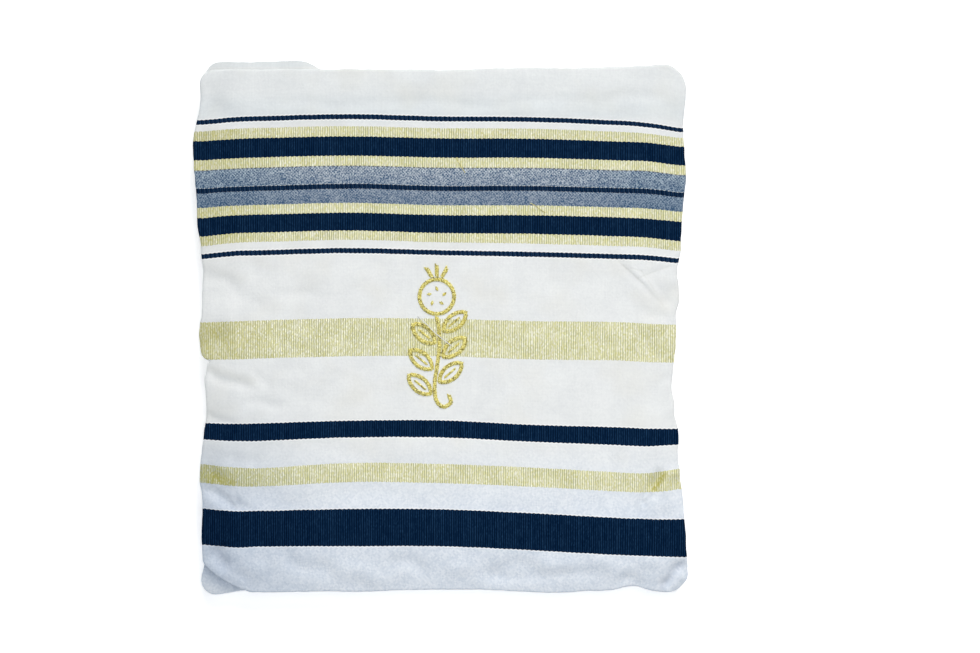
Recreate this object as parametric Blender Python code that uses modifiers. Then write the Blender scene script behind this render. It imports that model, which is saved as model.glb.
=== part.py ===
"""Tallit prayer shawl, folded flat.

A woven shawl, 22 by 72 inches, whose long sides are turned in to the middle and whose length
is then folded to and fro into six passes, so that it lies as a soft flat packet.
The uppermost pass is a cloth wall that rolls over on every side. The hidden passes share one
rounded solid that is layered at its edges. A sprig in raised stitching lies on the top.
Units are metres, +Z is up, +Y runs along the shawl's length, and the packet rests on z = 0.
"""

import math
from collections import namedtuple

import bmesh
import bpy
from mathutils import Vector

MM = 0.001
INCH = 0.0254

# Driving dimensions of the cloth and of its folding
CLOTH_WIDTH = 22 * INCH
CLOTH_LENGTH = 72 * INCH
PASS_COUNT = 6
PACKET_WIDTH = CLOTH_WIDTH / 2
PACKET_LENGTH = CLOTH_LENGTH / PASS_COUNT
PACKET_HEIGHT = 20.0 * MM

# Walls, noses and clearances
WALL = 1.0 * MM
SEAM_GAP = 0.3 * MM
FOLD_REACH = 2.0 * MM
GROOVE_DEPTH = 2.6 * MM
TURN_UNDER = 8.0 * MM
FOOT_INSET = 1.2 * MM
TUCKED_REACH = -1.6 * MM
TUCKED_SHARE = 0.12
CORE_INSETS = (34 * MM, 70 * MM, 108 * MM)
CORE_GAP = 1.8 * MM

# How finely the cloth is divided, and the stations round its rolled edges in degrees
WELD_DISTANCE = 0.002 * MM
ACROSS_STEPS = 28
ALONG_STEPS = 30
EDGE_CROWDING = 0.5
TOP_NOSE_ANGLES = (52, 12, -28, -62, -90)
LOWER_NOSE_ANGLES = (-48, 0, 48)
SHELF_ANGLE = 78

HALF_WIDTH = PACKET_WIDTH / 2 - FOLD_REACH
HALF_LENGTH = PACKET_LENGTH / 2 - FOLD_REACH

# How far each side stands outside the nominal packet, in mm, at places along it
SideRow = namedtuple("SideRow", "along left right")
SIDE_ROWS = [
    SideRow(along=-152, left=0.2, right=3.8),
    SideRow(along=-141, left=0.0, right=4.5),
    SideRow(along=-128, left=0.0, right=3.4),
    SideRow(along=-106, left=-0.8, right=1.2),
    SideRow(along=-84, left=0.9, right=-0.9),
    SideRow(along=-70, left=0.0, right=-2.3),
    SideRow(along=-55, left=-1.9, right=-3.4),
    SideRow(along=-38, left=-2.4, right=-5.0),
    SideRow(along=-21, left=-3.6, right=-4.6),
    SideRow(along=-12, left=-0.3, right=-3.6),
    SideRow(along=0, left=1.4, right=-3.0),
    SideRow(along=17, left=-0.5, right=-1.4),
    SideRow(along=34, left=-0.8, right=-2.2),
    SideRow(along=50, left=0.6, right=-0.2),
    SideRow(along=64, left=2.6, right=0.5),
    SideRow(along=87, left=3.9, right=2.4),
    SideRow(along=105, left=4.6, right=1.8),
    SideRow(along=120, left=3.2, right=1.3),
    SideRow(along=136, left=0.8, right=3.1),
    SideRow(along=152, left=1.0, right=3.0),
]

# How far the far and near ends stand outside the nominal packet, in mm
EndRow = namedtuple("EndRow", "across near far")
END_ROWS = [
    EndRow(across=-140, near=0.9, far=-1.0),
    EndRow(across=-90, near=1.5, far=-0.6),
    EndRow(across=-50, near=1.0, far=-0.9),
    EndRow(across=0, near=-0.1, far=-1.2),
    EndRow(across=20, near=0.0, far=-0.6),
    EndRow(across=40, near=1.2, far=0.0),
    EndRow(across=60, near=1.8, far=0.1),
    EndRow(across=82, near=1.0, far=0.3),
    EndRow(across=97, near=-0.3, far=0.5),
    EndRow(across=108, near=-2.2, far=0.7),
    EndRow(across=119, near=0.6, far=1.3),
    EndRow(across=129, near=2.1, far=2.1),
    EndRow(across=140, near=1.3, far=1.2),
]

# Corner rounding in mm, across and along, of the top pass and of the passes below it, and
# how full the top one's curve is: 2 is a round quarter, 1 a straight cut
Corner = namedtuple("Corner", "side end top_across top_along low_across low_along fullness")
CORNERS = [
    Corner(side="left", end="far", top_across=9, top_along=10, low_across=10, low_along=11, fullness=2.0),
    Corner(side="right", end="far", top_across=12, top_along=13, low_across=13, low_along=13, fullness=2.0),
    Corner(side="left", end="near", top_across=28, top_along=18, low_across=8, low_along=9, fullness=1.3),
    Corner(side="right", end="near", top_across=10, top_along=10, low_across=11, low_along=11, fullness=2.0),
]

# The passes from the top down: share of the height, and each one's own skew in mm and degrees
Pass = namedtuple("Pass", "name share inset_side inset_end shift turn folds_at")
PASSES = [
    Pass(name="first", share=0.200, inset_side=0.0, inset_end=0.0, shift=0.0, turn=0.0, folds_at="far"),
    Pass(name="second", share=0.155, inset_side=1.3, inset_end=0.6, shift=0.5, turn=0.12, folds_at="near"),
    Pass(name="third", share=0.160, inset_side=1.7, inset_end=1.0, shift=-0.6, turn=-0.18, folds_at="far"),
    Pass(name="fourth", share=0.160, inset_side=1.1, inset_end=1.5, shift=0.7, turn=0.20, folds_at="near"),
    Pass(name="fifth", share=0.160, inset_side=1.9, inset_end=1.1, shift=-0.4, turn=-0.10, folds_at="far"),
    Pass(name="sixth", share=0.165, inset_side=1.4, inset_end=1.3, shift=0.3, turn=0.08, folds_at=None),
]

# A fold of a lower pass that slips out past the top one, in mm
SLIPPED_PASS = "third"
SLIPPED_TO = -80
SLIPPED_EASE = 6
SLIPPED_REACH = 6.0

# How the top rounds off towards each side: drop and the width that it takes, in mm
Shoulder = namedtuple("Shoulder", "edge drop run")
SHOULDERS = [
    Shoulder(edge="left", drop=2.4, run=30),
    Shoulder(edge="right", drop=2.2, run=30),
    Shoulder(edge="far", drop=3.0, run=42),
    Shoulder(edge="near", drop=5.6, run=46),
]

# The largest soft folds of the top: a line from start to end, its half width and its height, in mm
Crease = namedtuple("Crease", "name x0 y0 x1 y1 width height")
CREASES = [
    Crease("far_trough", -112, 134, 112, 135, 10, -0.8),
    Crease("right_wrinkle", 100, 38, 137, 9, 6, -0.9),
    Crease("right_ridge", 110, 44, 140, 22, 8, 0.7),
    Crease("left_upper_trough", -138, 34, -104, 22, 8, -0.8),
    Crease("left_middle_trough", -136, -21, -97, -38, 7, -1.1),
    Crease("left_middle_ridge", -136, -31, -104, -45, 6, 0.6),
    Crease("left_lower_trough", -136, -40, -108, -56, 7, -0.9),
    Crease("left_stripe_trough", -122, -86, -78, -104, 9, -1.2),
    Crease("left_stripe_ridge", -140, -92, -122, -104, 8, 0.9),
    Crease("right_stripe_trough", 114, -110, 140, -92, 7, -1.3),
    Crease("right_stripe_ridge", 124, -116, 142, -102, 7, 1.0),
    Crease("right_edge_ridge", 126, -54, 137, -36, 7, 0.8),
    Crease("near_notch", 102, -138, 110, -153, 7, -1.2),
    Crease("near_pucker", 142, -134, 128, -152, 4, -1.0),
]

# The stitched sprig, in mm about its own middle
SPRIG_ACROSS = -2.6
SPRIG_ALONG = -4.4
CORD_WIDTH = 2.3
CORD_HEIGHT = 0.9
CORD_SIDES = 8
FRUIT_ALONG = 23.2
FRUIT_RADIUS = 10.0
LEAF_LENGTH = 16.0
LEAF_WIDTH = 7.6
LEAF_LEAN = 50.0
LEAF_CLEARANCE = 0.7
CURVE_POINTS_PER_ROUND = 22
STEM_STEPS = 4
STEM_CURL_FROM = 3.0
StemPoint = namedtuple("StemPoint", "across along")
STEM_POINTS = [
    StemPoint(0.0, 11.4),
    StemPoint(1.2, 4.0),
    StemPoint(1.5, -6.0),
    StemPoint(0.2, -17.0),
    StemPoint(-1.2, -27.0),
    StemPoint(-0.4, -36.5),
    StemPoint(3.6, -40.6),
    StemPoint(7.9, -38.4),
    StemPoint(7.2, -33.9),
]
Leaf = namedtuple("Leaf", "side along")
LEAVES = [
    Leaf("right", 3.5),
    Leaf("left", -3.5),
    Leaf("right", -11.5),
    Leaf("left", -18.5),
    Leaf("right", -26.0),
    Leaf("left", -33.0),
]
Sepal = namedtuple("Sepal", "name base_across base_along tip_across tip_along")
SEPALS = [
    Sepal("middle", 0.0, 34.9, 0.0, 41.4),
    Sepal("left", -2.9, 34.6, -6.0, 39.8),
    Sepal("right", 2.9, 34.6, 6.0, 39.8),
]


def smoothstep(low, high, value):
    """0 below low, 1 above high, and an even ease between them."""
    t = min(1.0, max(0.0, (value - low) / (high - low)))
    return t * t * (3 - 2 * t)


def eased(rows, place, key, column):
    """Reads a column of a table at a place, on a smooth curve through its rows."""
    last = len(rows) - 1
    i = 0
    while i < last - 1 and getattr(rows[i + 1], key) < place:
        i += 1
    ahead, behind = rows[min(i + 2, last)], rows[max(i - 1, 0)]
    here, there = rows[i], rows[i + 1]
    span = getattr(there, key) - getattr(here, key)
    t = min(1.0, max(0.0, (place - getattr(here, key)) / span))
    v0, v1 = getattr(here, column), getattr(there, column)
    back = getattr(there, key) - getattr(behind, key)
    front = getattr(ahead, key) - getattr(here, key)
    m0 = (v1 - getattr(behind, column)) / back * span
    m1 = (getattr(ahead, column) - v0) / front * span
    cubic = (2 * t**3 - 3 * t**2 + 1) * v0 + (t**3 - 2 * t**2 + t) * m0
    return cubic + (3 * t**2 - 2 * t**3) * v1 + (t**3 - t**2) * m1


def crowded(t):
    """Moves evenly spaced stations in -1 to 1 closer together towards both ends."""
    return (1 - EDGE_CROWDING) * t + EDGE_CROWDING * math.sin(t * math.pi / 2)


def corner_of(a, b):
    """The row of CORNERS that the place (a, b) is nearest."""
    side = "left" if a < 0 else "right"
    end = "near" if b < 0 else "far"
    return next(c for c in CORNERS if c.side == side and c.end == end)


def corner_pull(out_x, out_y, fullness):
    """How far a place in a round corner is drawn in towards the corner's middle, 1 for not at all."""
    distance = math.hypot(out_x, out_y)
    power = ((out_x / distance) ** fullness + (out_y / distance) ** fullness) ** (1 / fullness)
    return 1 + (1 / power - 1) * distance * distance


def plan(a, b, fold=PASSES[0]):
    """The place in the plan of a point given from -1 to 1 across and along a pass."""
    x, y = a * HALF_WIDTH, b * HALF_LENGTH
    corner = corner_of(a, b)
    top = fold.name == PASSES[0].name
    round_x = (corner.top_across if top else corner.low_across) * MM
    round_y = (corner.top_along if top else corner.low_along) * MM
    p = (abs(x) - (HALF_WIDTH - round_x)) / round_x
    q = (abs(y) - (HALF_LENGTH - round_y)) / round_y
    if p > 0 and q > 0:
        out_x, out_y = p * math.sqrt(1 - q * q / 2), q * math.sqrt(1 - p * p / 2)
        drawn_in = corner_pull(out_x, out_y, corner.fullness) if top else 1.0
        x = math.copysign(HALF_WIDTH - round_x + round_x * out_x * drawn_in, x)
        y = math.copysign(HALF_LENGTH - round_y + round_y * out_y * drawn_in, y)
    place_x, place_y = x / MM, y / MM
    left = eased(SIDE_ROWS, place_y, "along", "left") - fold.inset_side
    right = eased(SIDE_ROWS, place_y, "along", "right") - fold.inset_side
    near = eased(END_ROWS, place_x, "across", "near") - fold.inset_end
    far = eased(END_ROWS, place_x, "across", "far") - fold.inset_end
    if fold.name == SLIPPED_PASS:
        far += SLIPPED_REACH * (1 - smoothstep(SLIPPED_TO - SLIPPED_EASE, SLIPPED_TO, place_x))
    share_x, share_y = (a + 1) / 2, (b + 1) / 2
    x += (right * share_x - left * (1 - share_x) + fold.shift) * MM
    y += (far * share_y - near * (1 - share_y)) * MM
    turn = math.radians(fold.turn)
    return Vector((x - y * turn, y + x * turn, 0))


def crease_height(place, crease):
    """The height that one crease adds at a place, fading at its ends."""
    start = Vector((crease.x0, crease.y0)) * MM
    end = Vector((crease.x1, crease.y1)) * MM
    run = end - start
    t = (place - start).dot(run) / run.length_squared
    nearest = start + run * min(1.0, max(0.0, t))
    away = (place - nearest).length / (crease.width * MM)
    return crease.height * MM * math.exp(-away * away)


def dome_height(place):
    """The height of the packet's upper face without its creases."""
    distance = {
        "left": place.x + PACKET_WIDTH / 2,
        "right": PACKET_WIDTH / 2 - place.x,
        "near": place.y + PACKET_LENGTH / 2,
        "far": PACKET_LENGTH / 2 - place.y,
    }
    height = PACKET_HEIGHT
    for shoulder in SHOULDERS:
        t = min(1.0, max(0.0, distance[shoulder.edge] / (shoulder.run * MM)))
        height -= shoulder.drop * MM * (1 - t) ** 2
    return height


def top_height(place):
    """The height of the packet's upper face above the surface that it lies on."""
    flat = Vector((place.x, place.y))
    return dome_height(place) + sum(crease_height(flat, crease) for crease in CREASES)


def level_under(index):
    """The share of the height that lies below the pass with this index."""
    return 1 - sum(fold.share for fold in PASSES[: index + 1])


def folding(index, b):
    """From 0, two open edges, to 1, where the pass turns over into the next one."""
    fold = PASSES[index]
    if fold.folds_at is None:
        return 0.0
    towards = b if fold.folds_at == "far" else -b
    return smoothstep(0.955, 0.995, towards)


def lower_level(index, b):
    """The height share at which a pass ends at the rim, deeper where it turns into the next."""
    if index == PASS_COUNT - 1:
        return 0.0
    fully = level_under(index + 1) + TUCKED_SHARE * PASSES[index + 1].share
    w = folding(index, b)
    return level_under(index) * (1 - w) + fully * w


def rim_stations():
    """The places around a pass, from -1 to 1 both ways, anticlockwise from the near left corner."""
    across = [crowded(2 * i / ACROSS_STEPS - 1) for i in range(ACROSS_STEPS + 1)]
    along = [crowded(2 * j / ALONG_STEPS - 1) for j in range(ALONG_STEPS + 1)]
    near = [(a, -1.0) for a in across[:-1]]
    right = [(1.0, b) for b in along[:-1]]
    far = [(a, 1.0) for a in reversed(across[1:])]
    left = [(-1.0, b) for b in reversed(along[1:])]
    return near + right + far + left


class Rim:
    """The edge line of one pass, with its outward directions in the plan."""

    def __init__(self, fold):
        self.fold = fold
        self.stations = rim_stations()
        self.points = [plan(a, b, fold) for a, b in self.stations]
        count = len(self.points)
        self.outward = []
        for k in range(count):
            tangent = self.points[(k + 1) % count] - self.points[k - 1]
            self.outward.append(Vector((tangent.y, -tangent.x, 0)).normalized())

    def at(self, k, reach, height):
        """A point beyond the edge line by reach, at a height."""
        place = self.points[k] + self.outward[k] * reach
        return Vector((place.x, place.y, height))

    def inset(self, k, distance):
        """The plan place of a rim station, moved in towards the middle."""
        a, b = self.stations[k]
        a -= a * distance / HALF_WIDTH
        b -= b * distance / HALF_LENGTH
        return plan(a, b, self.fold)


def material(name, colour, roughness, metallic=0.0):
    """A plain finish of one colour."""
    made = bpy.data.materials.new(name)
    made.use_nodes = True
    shader = made.node_tree.nodes["Principled BSDF"]
    shader.inputs["Base Color"].default_value = (*colour, 1)
    shader.inputs["Roughness"].default_value = roughness
    shader.inputs["Metallic"].default_value = metallic
    made.diffuse_color = (*colour, 1)
    return made


def collection(name):
    """A collection under the scene's own."""
    made = bpy.data.collections.new(name)
    bpy.context.scene.collection.children.link(made)
    return made


def extrude_ring(shape, edges, label, place):
    """Extrudes a closed loop of edges once, and puts each new point where place says."""
    made = bmesh.ops.extrude_edge_only(shape, edges=edges)["geom"]
    for item in made:
        if isinstance(item, bmesh.types.BMVert):
            item.co = place(item[label])
    points = {item for item in made if isinstance(item, bmesh.types.BMVert)}
    return [
        item
        for item in made
        if isinstance(item, bmesh.types.BMEdge) and set(item.verts) <= points
    ]


def labelled_grid(shape, label):
    """A grid over the top pass, its points put in place, with its rim points numbered."""
    made = bmesh.ops.create_grid(shape, x_segments=ACROSS_STEPS, y_segments=ALONG_STEPS, size=1.0)
    numbers = {
        (round(a, 5), round(b, 5)): k for k, (a, b) in enumerate(rim_stations())
    }
    for point in made["verts"]:
        a, b = crowded(point.co.x), crowded(point.co.y)
        point[label] = numbers.get((round(a, 5), round(b, 5)), -1)
        place = plan(a, b)
        point.co = (place.x, place.y, top_height(place))
    return [edge for edge in shape.edges if edge.is_boundary]


def finished(shape, name, look, home):
    """Turns a bmesh into a named, smooth object with its faces outwards."""
    bmesh.ops.remove_doubles(shape, verts=shape.verts, dist=WELD_DISTANCE)
    bmesh.ops.recalc_face_normals(shape, faces=shape.faces)
    mesh = bpy.data.meshes.new(name)
    shape.to_mesh(mesh)
    shape.free()
    mesh.shade_smooth()
    mesh.materials.append(look)
    made = bpy.data.objects.new(name, mesh)
    home.objects.link(made)
    return made


def make_end_panel(look, home):
    """The uppermost pass: a wall that covers the top, rolls over at its rim and turns under."""
    rim = Rim(PASSES[0])

    def bounds(k):
        """The heights between which the wall rolls over at a rim station."""
        seam = dome_height(rim.points[k]) * lower_level(0, rim.stations[k][1])
        return top_height(rim.points[k]), seam + SEAM_GAP / 2

    def outer(angle):
        def place(k):
            top, low = bounds(k)
            rise = math.sin(math.radians(angle)) * (top - low) / 2
            return rim.at(k, FOLD_REACH * math.cos(math.radians(angle)), (top + low) / 2 + rise)

        return place

    def under(k):
        inner = rim.inset(k, TURN_UNDER)
        low = dome_height(inner) * lower_level(0, rim.stations[k][1]) + SEAM_GAP / 2
        return Vector((inner.x, inner.y, low))

    shape = bmesh.new()
    label = shape.verts.layers.int.new("station")
    edges = labelled_grid(shape, label)
    for angle in TOP_NOSE_ANGLES:
        edges = extrude_ring(shape, edges, label, outer(angle))
    extrude_ring(shape, edges, label, under)
    panel = finished(shape, "end_panel", look, home)
    wall = panel.modifiers.new("wall", "SOLIDIFY")
    wall.thickness = WALL
    wall.offset = -1
    wall.use_even_offset = True


def make_folded_layers(look, home):
    """The five hidden passes as one rounded solid, with a groove between each two at the sides."""
    top_rim = Rim(PASSES[0])
    rims = [Rim(fold) for fold in PASSES]
    count = len(top_rim.stations)

    def nose(index, angle):
        rim = rims[index]

        def place(k):
            b = rim.stations[k][1]
            full = dome_height(rim.points[k])
            top = full * lower_level(index - 1, b)
            top -= SEAM_GAP / 2 if index == 1 else 0
            low = full * lower_level(index, b)
            tucked = folding(index - 1, b)
            tip = FOLD_REACH * (1 - tucked) + TUCKED_REACH * tucked
            turn = math.radians(angle)
            reach = (tip + GROOVE_DEPTH) * math.cos(turn) - GROOVE_DEPTH
            return rim.at(k, reach, (top + low) / 2 + math.sin(turn) * (top - low) / 2)

        return place

    def groove(index):
        def place(k):
            upper, lower = rims[index], rims[index + 1]
            middle = (upper.points[k] + lower.points[k]) / 2
            full = dome_height(middle)
            between = middle - upper.outward[k] * GROOVE_DEPTH
            return Vector((between.x, between.y, full * lower_level(index, upper.stations[k][1])))

        return place

    def shelf(k):
        inner = top_rim.inset(k, TURN_UNDER + SEAM_GAP)
        low = dome_height(inner) * lower_level(0, top_rim.stations[k][1]) - SEAM_GAP / 2
        return Vector((inner.x, inner.y, low))

    def core(distance, gap):
        def place(k):
            inner = top_rim.inset(k, distance)
            return Vector((inner.x, inner.y, dome_height(inner) - WALL - gap))

        return place

    shape = bmesh.new()
    label = shape.verts.layers.int.new("station")
    foot = bmesh.ops.create_circle(shape, cap_ends=True, radius=1.0, segments=count)["verts"]
    for k, point in enumerate(foot):
        point[label] = k
        point.co = rims[-1].at(k, -FOOT_INSET, 0)
    edges = list(shape.edges)
    for index in range(PASS_COUNT - 1, 0, -1):
        for angle in LOWER_NOSE_ANGLES:
            edges = extrude_ring(shape, edges, label, nose(index, angle))
        if index > 1:
            edges = extrude_ring(shape, edges, label, groove(index - 1))
    edges = extrude_ring(shape, edges, label, nose(1, SHELF_ANGLE))
    edges = extrude_ring(shape, edges, label, shelf)
    for distance in (TURN_UNDER + 2 * SEAM_GAP, *CORE_INSETS):
        edges = extrude_ring(shape, edges, label, core(distance, CORE_GAP))
    bmesh.ops.contextual_create(shape, geom=edges)
    finished(shape, "folded_layers", look, home)


def on_top(across, along, lift):
    """A point above the upper face, given in the sprig's own mm."""
    place = Vector(((across + SPRIG_ACROSS) * MM, (along + SPRIG_ALONG) * MM, 0))
    place.z = top_height(place) + lift
    return place


def cord_section():
    """The flattened round outline of a stitched cord, which the sprig's curves are bevelled with."""
    line = bpy.data.curves.new("cord_section", "CURVE")
    line.dimensions = "2D"
    spline = line.splines.new("POLY")
    spline.points.add(CORD_SIDES - 1)
    for k, point in enumerate(spline.points):
        turn = -2 * math.pi * k / CORD_SIDES
        point.co = (CORD_WIDTH / 2 * MM * math.cos(turn), CORD_HEIGHT / 2 * MM * math.sin(turn), 0, 1)
    spline.use_cyclic_u = True
    made = bpy.data.objects.new("cord_section", line)
    made.hide_render = True
    made.display_type = "WIRE"
    collection("guides").objects.link(made)
    return made


def stitched_line(name, places, closed, section, look, home):
    """One raised line of stitching through places given in the sprig's own mm."""
    line = bpy.data.curves.new(name, "CURVE")
    line.dimensions = "3D"
    line.twist_mode = "Z_UP"
    line.bevel_mode = "OBJECT"
    line.bevel_object = section
    line.use_fill_caps = not closed
    spline = line.splines.new("POLY")
    spline.points.add(len(places) - 1)
    lift = SEAM_GAP + CORD_HEIGHT / 2 * MM
    for point, (across, along) in zip(spline.points, places):
        point.co = (*on_top(across, along, lift), 1)
    spline.use_cyclic_u = closed
    line.materials.append(look)
    made = bpy.data.objects.new(name, line)
    home.objects.link(made)
    return made


def ellipse(across, along, half_length, half_width, lean):
    """Places around an ellipse whose long axis leans from +Y towards +X, in mm."""
    lean = math.radians(lean)
    places = []
    for k in range(CURVE_POINTS_PER_ROUND):
        turn = 2 * math.pi * k / CURVE_POINTS_PER_ROUND
        forward, aside = half_length * math.cos(turn), half_width * math.sin(turn)
        x = across + forward * math.sin(lean) + aside * math.cos(lean)
        y = along + forward * math.cos(lean) - aside * math.sin(lean)
        places.append((x, y))
    return places


def through(points, steps):
    """Places on a smooth curve through a few points."""
    places = []
    for i in range(len(points) - 1):
        before, after = points[max(i - 1, 0)], points[min(i + 2, len(points) - 1)]
        here, there = points[i], points[i + 1]
        for step in range(steps):
            t = step / steps
            pair = []
            for p0, p1, p2, p3 in zip(before, here, there, after):
                bend = (2 * p0 - 5 * p1 + 4 * p2 - p3) * t + (p2 - p0)
                pair.append(p1 + 0.5 * t * (bend + (3 * p1 - p0 - 3 * p2 + p3) * t * t))
            places.append(tuple(pair))
    places.append(tuple(points[-1]))
    return places


def stem_across(along):
    """How far the stem's middle lies from the sprig's axis at a height along it."""
    straight = [p for p in STEM_POINTS if p.across < STEM_CURL_FROM]
    return eased(straight[::-1], along, "along", "across")


def make_sprig(look, home):
    """A fruiting sprig in raised stitching: stem, fruit, leaves and sepals."""
    section = cord_section()
    stitched_line("sprig_stem", through(STEM_POINTS, STEM_STEPS), False, section, look, home)
    fruit = ellipse(0, FRUIT_ALONG, FRUIT_RADIUS, FRUIT_RADIUS, 0)
    stitched_line("sprig_fruit", fruit, True, section, look, home)
    aside = CORD_WIDTH + LEAF_CLEARANCE
    for number, leaf in enumerate(LEAVES, 1):
        sign = 1 if leaf.side == "right" else -1
        lean = math.radians(LEAF_LEAN)
        root = stem_across(leaf.along) + sign * aside
        across = root + sign * LEAF_LENGTH / 2 * math.sin(lean)
        along = leaf.along + LEAF_LENGTH / 2 * math.cos(lean)
        outline = ellipse(across, along, LEAF_LENGTH / 2, LEAF_WIDTH / 2, sign * LEAF_LEAN)
        stitched_line(f"sprig_leaf_{number}", outline, True, section, look, home)
    for sepal in SEPALS:
        ends = [(sepal.base_across, sepal.base_along), (sepal.tip_across, sepal.tip_along)]
        stitched_line(f"sprig_sepal_{sepal.name}", ends, False, section, look, home)


def centre_on_origin(home):
    """Moves the whole part so that the middle of its footprint is at the origin."""
    bpy.context.view_layer.update()
    corners = [Vector(c) for c in bpy.data.objects["end_panel"].bound_box]
    corners += [Vector(c) for c in bpy.data.objects["folded_layers"].bound_box]
    middle_x = (min(c.x for c in corners) + max(c.x for c in corners)) / 2
    middle_y = (min(c.y for c in corners) + max(c.y for c in corners)) / 2
    for made in home.objects:
        made.location.x -= middle_x
        made.location.y -= middle_y


def main():
    """Clears the scene and builds the folded shawl."""
    for made in list(bpy.data.objects):
        bpy.data.objects.remove(made)
    home = collection("folded_prayer_shawl")
    cloth = material("shawl_cloth", (0.82, 0.84, 0.86), 0.85)
    thread = material("gold_thread", (0.70, 0.58, 0.22), 0.40, 0.60)
    make_end_panel(cloth, home)
    make_folded_layers(cloth, home)
    make_sprig(thread, home)
    centre_on_origin(home)


main()
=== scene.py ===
"""The looks of a folded prayer shawl: its cloth, its woven bands and its stitched sprig.

The shawl is a long woven cloth. Its sides are turned in to the middle and its length is folded to
and fro in six passes. Each pass is a thin shell here. A cloth coordinate runs through all of them,
so that the bands and the ribs lie on the cloth as they were woven and turn over its edges.
Lengths in the tables are in millimetres, and each mesh is made in metres in the frame's place.
"""

import logging
import math
from dataclasses import dataclass, field
from enum import Enum
from typing import Callable

import bmesh
import bpy
import numpy as np
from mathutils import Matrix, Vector, noise


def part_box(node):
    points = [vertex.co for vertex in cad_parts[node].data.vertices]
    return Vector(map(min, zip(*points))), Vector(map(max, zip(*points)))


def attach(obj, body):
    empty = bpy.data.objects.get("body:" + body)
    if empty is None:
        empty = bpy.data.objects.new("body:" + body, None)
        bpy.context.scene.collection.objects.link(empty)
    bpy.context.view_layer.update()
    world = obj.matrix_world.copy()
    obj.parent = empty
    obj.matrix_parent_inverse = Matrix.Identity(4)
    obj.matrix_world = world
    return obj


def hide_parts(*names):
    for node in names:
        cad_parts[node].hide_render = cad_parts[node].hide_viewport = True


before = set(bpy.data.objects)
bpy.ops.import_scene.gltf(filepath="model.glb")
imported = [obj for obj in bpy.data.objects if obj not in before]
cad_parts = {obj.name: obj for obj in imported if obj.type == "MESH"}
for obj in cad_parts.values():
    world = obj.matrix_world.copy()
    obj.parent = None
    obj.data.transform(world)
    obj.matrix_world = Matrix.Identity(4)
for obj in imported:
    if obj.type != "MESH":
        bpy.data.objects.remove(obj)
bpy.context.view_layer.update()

LOG = logging.getLogger("shawl")
MM = 0.001
INCH = 25.4
CLOTH_MAP = "cloth"
SIDE_CROWDING = 0.3

PHOTO_WIDTH_PX = 980
PHOTO_HEIGHT_PX = 653
PHOTO_MIDDLE_PX = (441.5, 329.0)
MM_PER_PX = 0.583

Places = np.ndarray


class Weave(Enum):
    """The ways in which the shawl's bands are woven."""

    GROUND = "plain white ground"
    NAVY = "navy rib"
    GOLD = "gold rib"
    BLUE = "heathered blue twill"


class Turn(Enum):
    """The end at which a pass of cloth turns over into the next one."""

    FAR = "far"
    NEAR = "near"
    NONE = "none"


class Face(Enum):
    """The face of a pass that shows whole."""

    UPPER = "upper"
    UNDER = "under"
    NONE = "none"


@dataclass(frozen=True)
class Band:
    """One woven band, in the order in which they follow each other from the hem."""

    weave: Weave
    width: float


BANDS = tuple(Band(*row) for row in (
    (Weave.GROUND, 26.6), (Weave.NAVY, 21.7), (Weave.GROUND, 15.5), (Weave.GOLD, 11.1),
    (Weave.GROUND, 15.0), (Weave.NAVY, 9.8), (Weave.GROUND, 37.6), (Weave.GOLD, 22.1),
    (Weave.GROUND, 37.95), (Weave.NAVY, 2.9), (Weave.GROUND, 4.65), (Weave.GOLD, 5.25),
    (Weave.NAVY, 10.4), (Weave.GOLD, 5.85), (Weave.BLUE, 8.45), (Weave.NAVY, 3.0),
    (Weave.BLUE, 10.15), (Weave.GOLD, 5.9), (Weave.NAVY, 11.2), (Weave.GOLD, 6.1),
    (Weave.GROUND, 4.25), (Weave.NAVY, 2.9),
))


@dataclass(frozen=True)
class BowRow:
    """How far a line of the weave sags towards the near end, at stations across the packet."""

    along: float
    drops: tuple[float, ...]


BOW_STATIONS = (-138.0, -120.0, -106.0, -53.0, 0.0, 52.0, 104.0, 120.0, 138.0)
BOW_ROWS = (
    BowRow(-115.4, (-0.6, 0.9, 0.3, 0.1, 0.1, 2.4, 5.3, 5.9, 6.8)),
    BowRow(-83.4, (0.8, 2.7, 3.2, -0.1, 0.6, 2.6, 5.5, 5.9, 3.2)),
    BowRow(-57.8, (1.6, 2.1, 1.8, 0.2, 0.0, 2.6, 4.1, 4.8, 5.1)),
    BowRow(-4.4, (2.6, 2.3, 1.7, 0.4, 0.5, 2.0, 2.4, 3.5, 3.9)),
    BowRow(46.1, (4.1, 2.3, 1.9, 0.6, 1.9, 2.8, 4.3, 4.9, 6.9)),
    BowRow(62.8, (3.2, 1.7, 1.3, 0.2, 1.7, 1.8, 3.1, 3.9, 5.4)),
    BowRow(83.7, (3.5, 2.6, 2.2, 0.8, 2.1, 2.1, 3.3, 3.7, 5.8)),
    BowRow(107.0, (2.9, 2.0, 1.4, 0.5, 1.6, 1.8, 3.5, 4.1, 6.4)),
    BowRow(124.2, (4.4, 2.7, 2.2, 1.0, 2.3, 2.8, 5.1, 6.8, 10.4)),
)


@dataclass(frozen=True)
class SideRow:
    """How far the left and right sides stand outside the plain packet, at a place along it."""

    along: float
    left: float
    right: float


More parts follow.
